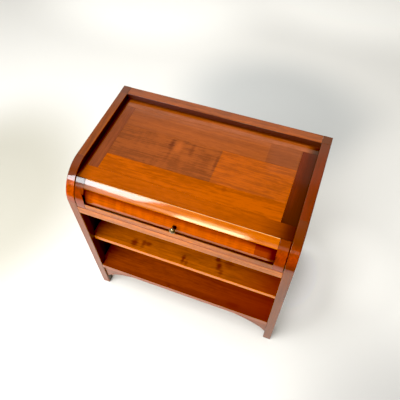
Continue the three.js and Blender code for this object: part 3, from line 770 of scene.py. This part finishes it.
def side_panel(side):
    """A flat panel whose upper front corner follows the bent corner's hollow, just inside its frame."""
    hollow = RADIUS - BEND_THICK - SLACK
    bottom = high(f"{side}_foot_rail")[2] + SLACK
    arc = bend_arc(hollow, 0, math.pi / 2, 24)
    corners = [(REAR - SLACK, CURVE_Z + hollow), (REAR - SLACK, bottom), (POST_BACK + SLACK, bottom)]
    return carried(np.concatenate([arc, corners]), 0, *extent(f"{side}_panel", 0), 0.2 * MM)


class MakeBack(bpy.types.Operator):
    """Makes the framed back: two rails and a panel"""

    bl_idname = "desk.make_back"
    bl_label = "Framed back"

    def execute(self, context):
        sizes, c = context.scene.desk_sizes, tones()
        # The back rails darken towards the left, and their inner faces carry painted shade with a faint
        # sheen.
        stains = ((0, 0.0, -0.9, c.walnut), (1, REAR + 0.9 * MM, REAR + 0.3 * MM, c.shade_with_sheen))
        for level, shift, upper in (("top", 0.2, sizes.post_arris), ("foot", 1.1, sizes.rail_arris)):
            node = f"back_{level}_rail"
            arrises = (sizes.rail_arris, sizes.rail_arris, upper, upper)
            wood = frame_wood(f"cherry back {level} rail", "x", (shift, 0.06, 0.05), 0.25, stains=stains)
            shape = bar(node, 0, arrises, sizes.board_arris, BETWEEN_POSTS)
            add_piece(node, shape, wood)
        z = (high("back_foot_rail")[2] + SLACK, low("back_top_rail")[2] - SLACK)
        shape = carried(rectangle(extent("back_panel", 1), z), 0, SLACK - INNER, INNER - SLACK, 0.1 * MM)
        add_piece("back_panel", shape, plywood("stained back ply", c.ply))
        return {"FINISHED"}


class MakeTop(bpy.types.Operator):
    """Makes the recessed top: two rails, two end pieces and three glued boards"""

    bl_idname = "desk.make_top"
    bl_label = "Recessed top"

    def execute(self, context):
        sizes, c = context.scene.desk_sizes, tones()
        arris = sizes.board_arris
        brown = blended(c.russet, c.walnut, 0.12)
        deep = blended(c.russet, c.dark_tone_and_shade, 0.25)
        # Painted shade on the top along the right wall.
        right_wall_shade = (0, INNER - 48 * MM, INNER - 2 * MM, dimmed(c.dark_tone_and_shade, 0.75))
        veil = (0, 0.0, -0.8, c.walnut)
        # Painted shadow of the left wall, on the top along it.
        left_wall_shadow = (0, 15 * MM - INNER, 6 * MM - INNER, c.painted_shade)
        woods = {
            "top_front_board": cherry(
                "cherry top front", c.amber, 0.4, "x", (0.1, 0.1, -0.6), contrast=2.2,
                marks=FRONT_BOARD_MARKS, gloss=0.15),
            "top_middle_board": cherry(
                "cherry top middle", brown, 0.55, "x", (0.7, 0.2, -0.62), contrast=2.1,
                staves=((STAVE_JOINT, c.amber, 0.45),), marks=MIDDLE_BOARD_MARKS,
                curl=(-0.30, STAVE_JOINT, 1.3), stains=(veil,), gloss=0.42),
            "top_back_board": cherry(
                "cherry top back", c.russet, 0.45, "x", (1.4, 0.0, -0.6),
                staves=((0.193, deep, 0.5),), stains=(veil,)),
            "top_left_end": cherry(
                "cherry top left end", blended(c.russet, c.dark_tone_and_shade, 0.4), blended(c.russet, c.dark_tone_and_shade, 0.7),
                "y", (0.4, 0.4, -0.6), stains=(left_wall_shadow,)),
            "top_right_end": cherry(
                "cherry top right end", blended(c.garnet, c.dark_tone_and_shade, 0.84), c.dark_tone_and_shade, "y", (0.9, -0.3, -0.6),
                stains=(right_wall_shade, (1, 0.02, -0.20, dimmed(c.dark_tone_and_shade, 0.5))), gloss=0.35),
            # The back rail's tone is blended with the painted sheen; painted shade darkens it near the
            # right wall and along the back wall.
            "top_back_rail": cherry(
                "cherry top back rail", blended(c.russet, c.painted_sheen, 0.3),
                blended(c.russet, c.walnut, 0.4), "x", (2.1, 0.1, -0.61),
                stains=((0, INNER - 46 * MM, INNER - 8 * MM, c.painted_shade),
                        (1, REAR - 12 * MM, REAR - 3 * MM, blended(c.walnut, c.shade_with_sheen, 0.5)), veil, left_wall_shadow)),
            # The front rail darkens towards the right wall in painted shade.
            "top_front_rail": cherry(
                "cherry top front rail", blended(c.amber, c.russet, 0.1),
                blended(c.amber, c.walnut, 0.45), "x", (2.9, 0.1, -0.6), gloss=0.15,
                stains=((0, 0.20, 0.38, c.dark_tone_and_shade), (0, -0.30, -0.36, c.walnut), right_wall_shade, left_wall_shadow)),
        }
        for node, wood in woods.items():
            if node == "top_front_rail":
                shape = leaning_rail(node, arris)
            else:
                shape = bar(node, 1 if node.endswith("_end") else 0, arris, arris, steps=2)
            add_piece(node, shape, wood)
        return {"FINISHED"}


def leaning_rail(node, arris):
    """The top's front rail. Its front face leans along a line through the curve's centre line."""
    (front, back), (bottom, top) = extent(node, 1), extent(node, 2)
    foot = CURVE_Y + (front - CURVE_Y) / (top - CURVE_Z) * (bottom - CURVE_Z)
    section = eased([(front, top), (foot, bottom), (back, bottom), (back, top)],
                    (0.7 * MM, 0.3 * MM, arris, arris), 3)
    return carried(section, 0, *extent(node, 0), arris, steps=2)


class MakeShelves(bpy.types.Operator):
    """Makes the sill rail, the compartment's floor, both shelves and the bearers under them"""

    bl_idname = "desk.make_shelves"
    bl_label = "Sill and shelves"

    def execute(self, context):
        sizes, c = context.scene.desk_sizes, tones()
        arris = sizes.rail_arris
        crest = high("sill_rail")[2]
        # A thin painted sheen along the sill's upper edge.
        wood = frame_wood("cherry sill", "x", (3.3, 0.05, 0.06), light=c.honey, gloss=0.45,
                          stains=((2, crest - 0.9 * MM, crest - 0.4 * MM, c.painted_sheen),))
        arrises = (sizes.sill_arris, arris, arris, 0.8 * MM)
        shape = bar("sill_rail", 0, arrises, sizes.board_arris, BETWEEN_POSTS)
        add_piece("sill_rail", shape, wood)

        # Painted shade on the shelves: darker towards the right, towards the back, and at the middle
        # shelf's far left. The bottom shelf is also darker towards its front, and its front edge carries a
        # painted sheen.
        shade_red = blended(c.garnet, c.dark_tone_and_shade, 0.5)
        middle, bottom = low("middle_shelf")[1], low("bottom_shelf")[1]
        woods = {
            "compartment_floor": cherry(
                "cherry compartment floor", c.russet, c.walnut, "x", (0.2, 0.1, -0.5)),
            "middle_shelf": cherry(
                "cherry middle shelf", blended(c.honey, c.amber, 0.35), blended(c.honey, c.walnut, 0.6),
                "x", (1.2, 0.15, -0.3), contrast=1.3, marks=MIDDLE_SHELF_KNOTS, gloss=0.45,
                stains=((0, 0.10, 0.42, shade_red), (0, -0.20, -0.50, c.walnut),
                        (1, -0.165, -0.045, c.walnut),
                        (1, middle + 2 * MM, middle, blended(c.honey, c.amber, 0.15)))),
            "bottom_shelf": cherry(
                "cherry bottom shelf", c.amber, 0.55, "x", (2.2, 0.1, -0.1), contrast=1.2,
                marks=BOTTOM_SHELF_KNOTS, gloss=0.35,
                stains=((0, -0.12, 0.50, shade_red), (1, -0.15, -0.01, c.dark_tone_and_shade), (1, -0.16, -0.27, c.dark_tone_and_shade),
                        (1, bottom + 2 * MM, bottom, blended(c.painted_sheen, c.walnut, 0.3)))),
        }
        for node, wood in woods.items():
            add_piece(node, notched_board(node, arris), wood)

        for side, _ in SIDES:
            for level in ("floor", "shelf", "top"):
                node = f"{side}_{level}_bearer"
                start = (high(node)[2] * 4, 0.03, 0.05)
                wood = frame_wood(f"cherry {side} {level} bearer", "y", start, 0.0)
                add_piece(node, bar(node, 1, 0.8 * MM, 0.5 * MM), wood)
        return {"FINISHED"}


def notched_board(node, arris):
    """A board between the side panels: an outline notched round the posts, carried up through it."""
    (front, rear), wide, narrow = extent(node, 1), high(node)[0], INNER - SEAM
    shoulder = max(POST_BACK + SEAM, front)
    right = [(wide, shoulder), (wide, REAR - SEAM), (narrow, REAR - SEAM), (narrow, rear)]
    if shoulder - front > NO_NOTCH:
        right = [(narrow, front), (narrow, shoulder), *right]
    outline = np.array(right + [(-x, y) for x, y in right[::-1]])
    return carried(outline, 2, *extent(node, 2), arris)


class MakeBrackets(bpy.types.Operator):
    """Makes the two curved brackets under the bottom shelf"""

    bl_idname = "desk.make_brackets"
    bl_label = "Brackets"

    def execute(self, context):
        for side, sign in SIDES:
            wood = frame_wood(f"cherry bracket {side}", "x", (0.6 + sign, 0.04, 0.08), 0.35, gloss=0.6)
            shape = bracket(f"{side}_bracket", sign, context.scene.desk_sizes.rail_arris)
            add_piece(f"{side}_bracket", shape, wood)
        return {"FINISHED"}


def bracket(node, sign, arris):
    """A bracket's front outline, carried back by its thickness.

    Its lower edge is an ellipse's arc from the tip, with half axes run and drop. At t from 0 to
    asin(length / run) it lies run sin(t) from the tip and drop (1 - cos(t)) below it.
    """
    tip, spare = 6 * MM, 8 * MM
    x, (bottom, top) = extent(node, 0), extent(node, 2)
    near, far = x[::sign]
    length = x[1] - x[0]
    run = length + spare
    t = np.linspace(0, math.asin(length / run), 24)
    drop = (top - bottom - tip) / (1 - math.cos(t[-1]))
    arc = np.stack([top - tip - drop * (1 - np.cos(t)), near + sign * run * np.sin(t)], axis=1)
    return carried(np.concatenate([arc, [(top, far), (top, near)]]), 1, *extent(node, 1), arris)


class MakeFlap(bpy.types.Operator):
    """Makes the curved fall flap: two stiles, two rails and a raised panel"""

    bl_idname = "desk.make_flap"
    bl_label = "Fall flap"

    def execute(self, context):
        sizes, c = context.scene.desk_sizes, tones()
        arris = sizes.rail_arris
        edge = flap_edges(sizes)
        right_red = blended(c.garnet, c.walnut, 0.1)
        # Each stile's own tone, and the painted shade that it turns to where it curves up above its
        # highlight.
        tones_by_side = {
            "left": (blended(c.garnet, c.walnut, 0.3), blended(c.walnut, c.painted_shade, 0.5)),
            "right": (right_red, blended(c.walnut, right_red, 0.2)),
        }
        for side, sign in SIDES:
            node = f"flap_{side}_stile"
            x = extent(node, 0)
            inner = min(x, key=abs)
            red, upper = tones_by_side[side]
            # Painted shade: each stile darkens up its curve from 26 to 50 degrees, low down from 26 to 6
            # degrees, and along its inner edge in the recess.
            wood = frame_wood(f"cherry flap stile {side}", "z", (0.25 * sign, 0.05, 0.07), light=red,
                              stains=(bent(26, 50, upper),
                                      bent(26, 6, blended(red, c.walnut, 0.42 + 0.06 * sign)),
                                      (0, inner + sign * 0.6 * MM, inner + sign * 0.2 * MM, c.painted_shade)),
                              gloss=0.65 - 0.05 * sign, coat_blur=0.08)
            shape = carried(flap_section(edge, edge["top"], arris), 0, *x, arris)
            add_piece(node, shape, wood, "flap")

        # Painted shade on the ledge of the bottom rail, under the panel.
        shaded_ledge = ("bend", edge["low"] - 0.7 * MM / RADIUS, edge["low"] - 0.2 * MM / RADIUS, c.painted_shade)
        rails = {
            "flap_bottom_rail": (
                flap_section(edge, edge["low"], arris),
                frame_wood("cherry flap bottom rail", "x", (0.8, 0.04, 0.06), light=c.honey,
                           stains=((0, -0.05, 0.6, c.walnut), shaded_ledge), gloss=0.45)),
            "flap_top_rail": (
                top_rail_section(edge, arris),
                cherry("cherry flap top rail", blended(c.honey, c.amber, 0.5),
                       blended(c.amber, c.walnut, 0.2), "x", (1.7, 0.05, 0.06), contrast=0.8,
                       marks=(((-0.160, -0.177, 0.684), (0.0035, 0.0035, 0.0035), 0.6),
                              ((0.125, -0.179, 0.682), (0.0028, 0.0028, 0.0028), 0.9)),
                       stains=((0, 0.05, -0.50, c.russet),
                               (0, -0.25, -0.32, blended(c.walnut, c.russet, 0.3))),
                       # Painted highlight: a pale line along the rail's upper arris, where its rounded
                       # edge catches the light.
                       highlit_arris=(edge["top"], c.wear_and_highlight), gloss=1.0, coat_blur=0.095, sheen=0.03)),
        }
        reach = low("flap_right_stile")[0] - SEAM
        for node, (section, wood) in rails.items():
            shape = carried(section, 0, -reach, reach, 0.15 * MM, steps=1)
            add_piece(node, shape, wood, "flap")

        # Painted reflection of the bright floor: a pale band along the foot of the panel.
        foot = ("bend", edge["low"] + 19 * MM / RADIUS, edge["low"] + 12 * MM / RADIUS, c.painted_sheen)
        flame = cherry("cherry flap panel", c.flame, 0.5, "x", (0.3, 0.2, -0.55), contrast=1.1,
                       staves=((0.249, blended(c.garnet, c.walnut, 0.4), 0.5),), curl=(-0.34, 0.34, 2.2),
                       stains=(foot,), shadowed=c.dark_tone_and_shade, gloss=0.95)
        shape, shadow = raised_panel(sizes, edge)
        add_piece("flap_panel", shape, flame, "flap", shadow=shadow)
        return {"FINISHED"}


def flap_edges(sizes):
    """Where the flap's parts end: its lowest place, its top rail's thickness, and three angles.

    The angles run up from the front about the curve's centre line, to the panel's lower edge, to its
    upper edge and to the flap's upper end.
    """
    top = math.asin((high("top_front_rail")[2] - CURVE_Z) / RADIUS) - 1 * MM / RADIUS
    return {
        "bottom": low("flap_left_stile")[2],
        "thick": high("flap_bottom_rail")[1] - FRONT,
        "low": math.asin((high("flap_bottom_rail")[2] - CURVE_Z) / RADIUS),
        "high": top - sizes.flap_top_rail / RADIUS,
        "top": top,
    }


def flap_section(edge, top, arris):
    """The flap's section up to an angle: a rounded lower edge, a short straight part and the curve."""
    steps, thick, toe = 18, 20 * MM, 6 * MM
    below = [(FRONT + thick, edge["bottom"]), (FRONT, edge["bottom"])]
    outline = np.concatenate([bend_ring(0, top, thick, steps), below])
    radii = np.zeros(len(outline))
    radii[[steps, steps + 1, -2]] = arris
    radii[-1] = toe
    return eased(outline, radii, 5)


def top_rail_section(edge, arris):
    """The section of the flap's top rail: a part of a ring with its four corners rounded."""
    steps = 16
    outline = bend_ring(edge["high"], edge["top"], edge["thick"], steps)
    radii = np.zeros(len(outline))
    radii[[0, steps, steps + 1, -1]] = arris
    return eased(outline, radii)


def raised_panel(sizes, edge):
    """The bent raised panel, as a height over distance from its edges, and the painted shade on it.

    On a grid of x and of angle a, d is the distance to the nearest edge of the opening. The radius is
    the tongue's, plus the bevel's depth times d over its width, up to the level field. The back is bent
    to one smaller radius, and a strip round the four edges closes the shell. The painted shade is 1 at
    the frame and 0 on the field.
    """
    width, thick = sizes.bevel_width, 5.5 * MM
    half = low("flap_right_stile")[0] - SLACK
    field = RADIUS - sizes.field_depth
    tongue = field - sizes.bevel_depth
    start, end = edge["low"] * field + SLACK, edge["high"] * field - SLACK
    depth = np.concatenate([np.linspace(0, width, 6), width + np.array([0.4, 1, 3, 5, 9]) * MM])
    x = spread(-half, half, depth, 40)
    along = spread(start, end, depth, 22)
    from_left, from_right, from_low, from_high = half + x, half - x, along - start, end - along
    d = np.minimum(np.minimum(from_left, from_right)[None, :], np.minimum(from_low, from_high)[:, None])
    front = tongue + sizes.bevel_depth * np.clip(d / width, 0, 1)
    points = np.concatenate([on_bend(x, radius, along / field) for radius in (front, tongue - thick)])

    # Seen from outside, x runs to the right and the angle up, so the front faces keep the grid's order.
    faces = grid_faces(*d.shape)
    index = np.arange(d.size).reshape(d.shape)
    rim = np.concatenate([index[0, :-1], index[:-1, -1], index[-1, :0:-1], index[:0:-1, 0]])
    following = np.roll(rim, -1)
    sides = np.stack([rim, rim + d.size, following + d.size, following], axis=1)
    shell = split_on_mitres(faces, len(depth)) + (faces[:, ::-1] + d.size).tolist() + sides.tolist()

    # Painted shade lies along each edge of the opening as far as it reaches, fades over a soft width, and
    # is most in the upper right corner.
    left, right, upper, lower = (np.clip((reach - away) / soft, 0, 1) for away, reach, soft in (
        (from_left, width + 22 * MM - SLACK, 30 * MM), (from_right, width + 9 * MM - SLACK, 14 * MM),
        (from_high, width + 8 * MM, 18 * MM), (from_low, 2.2 * MM, 2.5 * MM)))
    unshaded_across = (1 - 0.8 * left) * (1 - 0.85 * right)
    unshaded_along = (1 - 0.65 * upper) * (1 - 0.88 * lower)
    corner = 0.8 * np.clip((x - 200 * MM) / (50 * MM), 0, 1)[None, :] * upper[:, None]
    shadow = 1 - unshaded_across[None, :] * unshaded_along[:, None] * (1 - corner)
    return (points, shell), np.tile(shadow.ravel(), 2)


def on_bend(x, radius, angle):
    """Points on a grid of x and angle, at a radius from the curve's centre line."""
    x, radius, angle = np.broadcast_arrays(x[None, :], radius, angle[:, None])
    points = [x, CURVE_Y - radius * np.cos(angle), CURVE_Z + radius * np.sin(angle)]
    return np.stack(points, axis=-1).reshape(-1, 3)


def spread(start, end, depth, count):
    """Positions from start to end: the given depths in from both ends, and even steps between."""
    middle = np.linspace(start + depth[-1], end - depth[-1], count + 1)[1:-1]
    return np.concatenate([start + depth, middle, (end - depth)[::-1]])


def split_on_mitres(faces, border):
    """Splits the faces of a grid that lie on its corner mitres, within a border, along the mitre."""
    columns = faces[0, 3] - faces[0, 0]
    row, column = np.divmod(np.arange(len(faces)), columns - 1)
    from_high, from_right = row[::-1], column[::-1]

    def meets(first, second):
        return (first == second) & (first < border - 1)

    rising = meets(row, column) | meets(from_high, from_right)
    falling = meets(row, from_right) | meets(from_high, column)
    whole, a, b = faces[~(rising | falling)], faces[rising], faces[falling]
    parts = (whole, a[:, [0, 1, 2]], a[:, [0, 2, 3]], b[:, [0, 1, 3]], b[:, [1, 2, 3]])
    return [face for part in parts for face in part.tolist()]


class MakeFittings(bpy.types.Operator):
    """Makes the turned knob and finishes the pins, bushes, screw and glides"""

    bl_idname = "desk.make_fittings"
    bl_label = "Knob and fittings"

    def execute(self, context):
        sizes, c = context.scene.desk_sizes, tones()
        edge = flap_edges(sizes)
        angle = (edge["low"] + edge["high"]) / 2 - sizes.knob_drop / RADIUS
        out = Vector((0, -math.cos(angle), math.sin(angle)))
        foot = Vector((0, CURVE_Y, CURVE_Z)) + out * (RADIUS - sizes.field_depth + SEAM)
        left, right = extent("knob", 0)
        profile = knob_profile((right - left) / 2, sizes.knob_reach)
        tarnish = np.clip((sizes.knob_reach - 5 * MM - profile[:, 1]) / (2 * MM), 0, 1)
        brass = old_metal("old brass", c.brass, 0.24, 0.5, (0.05, 0.03, 0.02))
        add_piece("knob", lathe(profile, foot, out), brass, "flap", "knob_turned",
                  np.repeat(tarnish, LATHE_STEPS))
        for material, nodes in (
                (old_metal("dull brass", blended(c.brass, (0.1, 0.08, 0.05), 0.4), 0.35, 0.6),
                 ("left_pivot_bush", "right_pivot_bush", "flap_left_pin", "flap_right_pin")),
                (old_metal("zinc plate", (0.55, 0.56, 0.58), 0.32, 0.3), ("knob_screw",)),
                (moulded("black nylon", (0.014, 0.013, 0.012)),
                 ("left_front_glide", "right_front_glide", "left_rear_glide", "right_rear_glide"))):
            for node in nodes:
                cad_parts[node].data.materials.clear()
                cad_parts[node].data.materials.append(material)
        return {"FINISHED"}


def knob_profile(radius, reach):
    """Radii and heights of the knob, from its foot's middle up a waist to its low domed head."""
    t = np.linspace(0, math.pi / 2, 12)
    middle, head, crown = 0.02 * MM, reach - 9 * MM, 4.9 * MM
    foot = [(middle, 0), (7 * MM, 0), (7.5 * MM, 0.4 * MM), (7.5 * MM, 1.4 * MM), (6 * MM, 2.8 * MM)]
    waist = [(4.5 * MM, 4.6 * MM), (3.9 * MM, 6.4 * MM), (3.8 * MM, 9 * MM), (4.3 * MM, head - 2.2 * MM)]
    swell = [(radius * 0.7, head), (radius * 0.93, head + 1.4 * MM), (radius, head + 3 * MM)]
    dome = np.stack([radius * np.cos(t), reach - crown + crown * np.sin(t)], axis=1)
    dome[-1, 0] = middle
    return np.concatenate([foot, waist, swell, dome])


# ---------------------------------------------------------------- studio

# The bright panes that the varnish mirrors: name, x, z, y, share of the glint, colour.
PANES = (
    ("tall pane", (-1.72, -1.28), (2.22, 3.74), -3.0, 1.0, (1.0, 0.93, 0.92)),
    ("tall pane's side", (-2.55, -1.72), (2.34, 3.88), -3.0, 1.1, (0.80, 0.94, 1.0)),
    ("tall pane's foot", (-1.94, -1.30), (1.5, 2.22), -3.0, 0.2, (1.0, 0.88, 0.75)),
    ("low pane", (-0.78, -0.04), (1.4, 1.95), -3.0, 1.25, (1.0, 0.9, 0.55)),
    ("low pane's head", (-0.74, -0.08), (1.95, 2.4), -3.0, 0.4, (1.0, 0.85, 0.45)),
    ("low pane's wing", (-1.25, -0.78), (1.6, 2.1), -3.0, 0.25, (1.0, 0.8, 0.5)),
    ("far pane", (0.1, 0.7), (1.5, 2.1), -3.0, 0.07, (1.0, 0.9, 0.8)),
    ("wall behind", (-2.6, 1.2), (0.8, 2.95), 2.2, 0.065, (1.0, 0.95, 0.9)),
    ("wall behind's head", (-0.1, 1.2), (2.95, 3.4), 2.2, 0.035, (1.0, 0.95, 0.9)),
)

# Half the floor's width and depth, and how many lines of points cross it each way.
FLOOR_HALVES = (3.2, 4.5)
FLOOR_LINES = 13

# Soft patches of light and shade on the floor: centre, radii in x and y, share of the floor's colour.
FLOOR_PATCHES = (
    ((-1.15, 1.95), (1.15, 0.78), 1.32),
    ((0.05, 1.06), (0.78, 0.6), (0.69, 0.715, 0.74)),
    ((0.30, 2.4), (1.4, 0.76), 1.34),
    ((-1.15, -0.05), (0.75, 0.95), (0.60, 0.59, 0.535)),
    ((1.05, -0.55), (0.80, 0.75), (0.62, 0.62, 0.63)),
    ((0.80, 0.65), (0.42, 0.7), 1.05),
    ((0.61, 0.23), (0.25, 0.28), 1.15),
    ((0.40, 0.08), (0.17, 0.26), (1.42, 1.43, 1.47)),
)

# The camera's place, its lens and sensor in mm, the level that it shows as black, and its three axes.
CAMERA_PLACE = (0.33205, FRONT - 0.6071, 1.78075)
CAMERA_LENS, CAMERA_SENSOR = 39.714, 36.0
BLACK_LEVEL = (0.009, 0.011, 0.020)
CAMERA_AXES = (
    (0.93574112, 0.35237716, -0.01479487),
    (-0.28132671, 0.77105074, 0.5712583),
    (0.21270597, -0.53038769, 0.82063699),
)


class MakeStudio(bpy.types.Operator):
    """Makes the pale floor, the soft lights, the surroundings and the camera"""

    bl_idname = "desk.make_studio"
    bl_label = "Studio"

    def execute(self, context):
        scene, studio = context.scene, context.scene.desk_studio
        make_floor(tones().floor)
        aim = (0, 0, 0.45)
        soft_light("overhead softbox", (-0.4, -0.5, 2.9), aim, (3.2, 3.2), studio.overhead)
        soft_light("window softbox", (-1.3, -2.4, 2.0), aim, (3.0, 2.0), studio.window)
        for name, x, z, y, share, colour in PANES:
            pane(name, x, z, y, studio.glint * share, colour)
        make_card()
        make_surroundings(scene, studio.sky)

        camera = bpy.data.objects.new("camera", bpy.data.cameras.new("camera"))
        scene.collection.objects.link(camera)
        camera.data.sensor_width = CAMERA_SENSOR
        camera.data.lens = CAMERA_LENS
        turn = Matrix(CAMERA_AXES).transposed().to_4x4()
        camera.matrix_world = Matrix.Translation(CAMERA_PLACE) @ turn
        scene.camera = camera
        scene.view_settings.view_transform = "Standard"
        scene.view_settings.use_curve_mapping = True
        scene.view_settings.curve_mapping.black_level = BLACK_LEVEL
        return {"FINISHED"}


def make_floor(colour):
    """A wide level sheet just under the glides, with a slight mottle and soft patches of light."""
    tree = Finish(bpy.data.materials.new("studio floor"))
    where = tree.where()
    shade = tree.mix(tree.noise(where, 3.0, 3.0), dimmed(colour, 0.985), colour)
    for (x, y), (wide, deep), share in FLOOR_PATCHES:
        offset = tree.vector("DIVIDE", tree.vector("SUBTRACT", where, (x, y, 0.0)), (wide, deep, 1.0))
        within = tree.span(tree.vector("LENGTH", offset), 1.0, 0.35)
        shade = tree.mix(within, shade, dimmed(colour, share))
    material = tree.surface(Base_Color=shade, Roughness=0.6, Specular_IOR_Level=0.2)
    x, y = np.meshgrid(*(np.linspace(-half, half, FLOOR_LINES) for half in FLOOR_HALVES))
    points = np.stack([x, y, np.zeros_like(x)], axis=-1).reshape(-1, 3)
    placed("floor", (points, grid_faces(*x.shape).tolist()), material)


def soft_light(name, place, aim, size, power, colour=(1.0, 1.0, 1.0), mirrored=False):
    """A rectangular light at a place, turned to its aim. It lights the scene or is mirrored in it."""
    data = bpy.data.lights.new(name, "AREA")
    data.shape = "RECTANGLE"
    data.size, data.size_y = size
    data.energy = power
    data.color = colour
    light = bpy.data.objects.new(name, data)
    light.location = place
    light.rotation_euler = (Vector(aim) - Vector(place)).to_track_quat("-Z", "Y").to_euler()
    light.visible_glossy, light.visible_diffuse = mirrored, not mirrored
    bpy.context.scene.collection.objects.link(light)


def pane(name, x, z, y, radiance, colour):
    """A bright upright pane between two places in x and in z, facing the desk and mirrored in it."""
    size = x[1] - x[0], z[1] - z[0]
    middle, height = (x[0] + x[1]) / 2, (z[0] + z[1]) / 2
    power = radiance * math.pi * size[0] * size[1]
    soft_light(name, (middle, y, height), (middle, 0, height), size, power, colour, mirrored=True)


def make_card():
    """A black card over the floor in front, seen only in the varnish in place of the bright floor."""
    tree = Finish(bpy.data.materials.new("black card"))
    material = tree.surface(Base_Color=rgba((0.01, 0.009, 0.008)), Roughness=1.0, Specular_IOR_Level=0.0)
    outline = ((-4, -4.4), (4, -4.4), (4, -0.6), (0.45, -0.69), (-0.61, -1.19), (-4, -1.6))
    points = [(x, y, 3 * MM) for x, y in outline]
    card = placed("black_card", (points, [range(len(points))]), material)
    card.visible_camera = card.visible_diffuse = card.visible_shadow = card.visible_transmission = False


def facing(azimuth, elevation):
    """The unit vector towards an azimuth and an elevation. 0 is straight in front, left is negative."""
    a, e = math.radians(azimuth), math.radians(elevation)
    return Vector((math.sin(a) * math.cos(e), -math.cos(a) * math.cos(e), math.sin(e)))


def make_surroundings(scene, strength):
    """A dim room with two soft glows: a pale wall behind at the left, and the ceiling."""
    tree = Finish(bpy.data.worlds.new("room"))
    where = tree.where("Generated")
    glows = [tree.span(tree.vector("DOT_PRODUCT", where, way), edge, 1.0, 0.0, amount * strength)
             for way, edge, amount in ((facing(-125, 38), 0.55, 1.6), (facing(0, 90), 0.6, 0.7))]
    room = {"Strength": tree.total(0.12 * strength, *glows), "Color": rgba((1.0, 0.99, 0.97))}
    tree.add("OutputWorld", {0: tree.add("Background", room).outputs[0]})
    scene.world = tree.owner


# ---------------------------------------------------------------- panel and registration

MAKERS = (MakeSides, MakeBack, MakeTop, MakeShelves, MakeBrackets, MakeFlap, MakeFittings, MakeStudio)


class DeskPanel(bpy.types.Panel):
    """Lists the desk's sizes, colours and lights, and a button for each group of pieces"""

    bl_idname = "VIEW3D_PT_desk"
    bl_label = "Desk"
    bl_space_type = "VIEW_3D"
    bl_region_type = "UI"
    bl_category = "Desk"

    def draw(self, context):
        for group in (context.scene.desk_sizes, context.scene.desk_colours, context.scene.desk_studio):
            box = self.layout.box()
            for name in group.__annotations__:
                box.prop(group, name)
        for maker in MAKERS:
            self.layout.operator(maker.bl_idname)


CLASSES = (DeskSizes, DeskColours, DeskStudio, *MAKERS, DeskPanel)


def register():
    for cls in CLASSES:
        bpy.utils.register_class(cls)
    bpy.types.Scene.desk_sizes = bpy.props.PointerProperty(type=DeskSizes)
    bpy.types.Scene.desk_colours = bpy.props.PointerProperty(type=DeskColours)
    bpy.types.Scene.desk_studio = bpy.props.PointerProperty(type=DeskStudio)


def unregister():
    del bpy.types.Scene.desk_studio
    del bpy.types.Scene.desk_colours
    del bpy.types.Scene.desk_sizes
    for cls in reversed(CLASSES):
        bpy.utils.unregister_class(cls)


def main():
    register()
    bpy.ops.desk.make_sides()
    bpy.ops.desk.make_back()
    bpy.ops.desk.make_top()
    bpy.ops.desk.make_shelves()
    bpy.ops.desk.make_brackets()
    bpy.ops.desk.make_flap()
    bpy.ops.desk.make_fittings()
    bpy.ops.desk.make_studio()


if __name__ == "__main__":
    main()
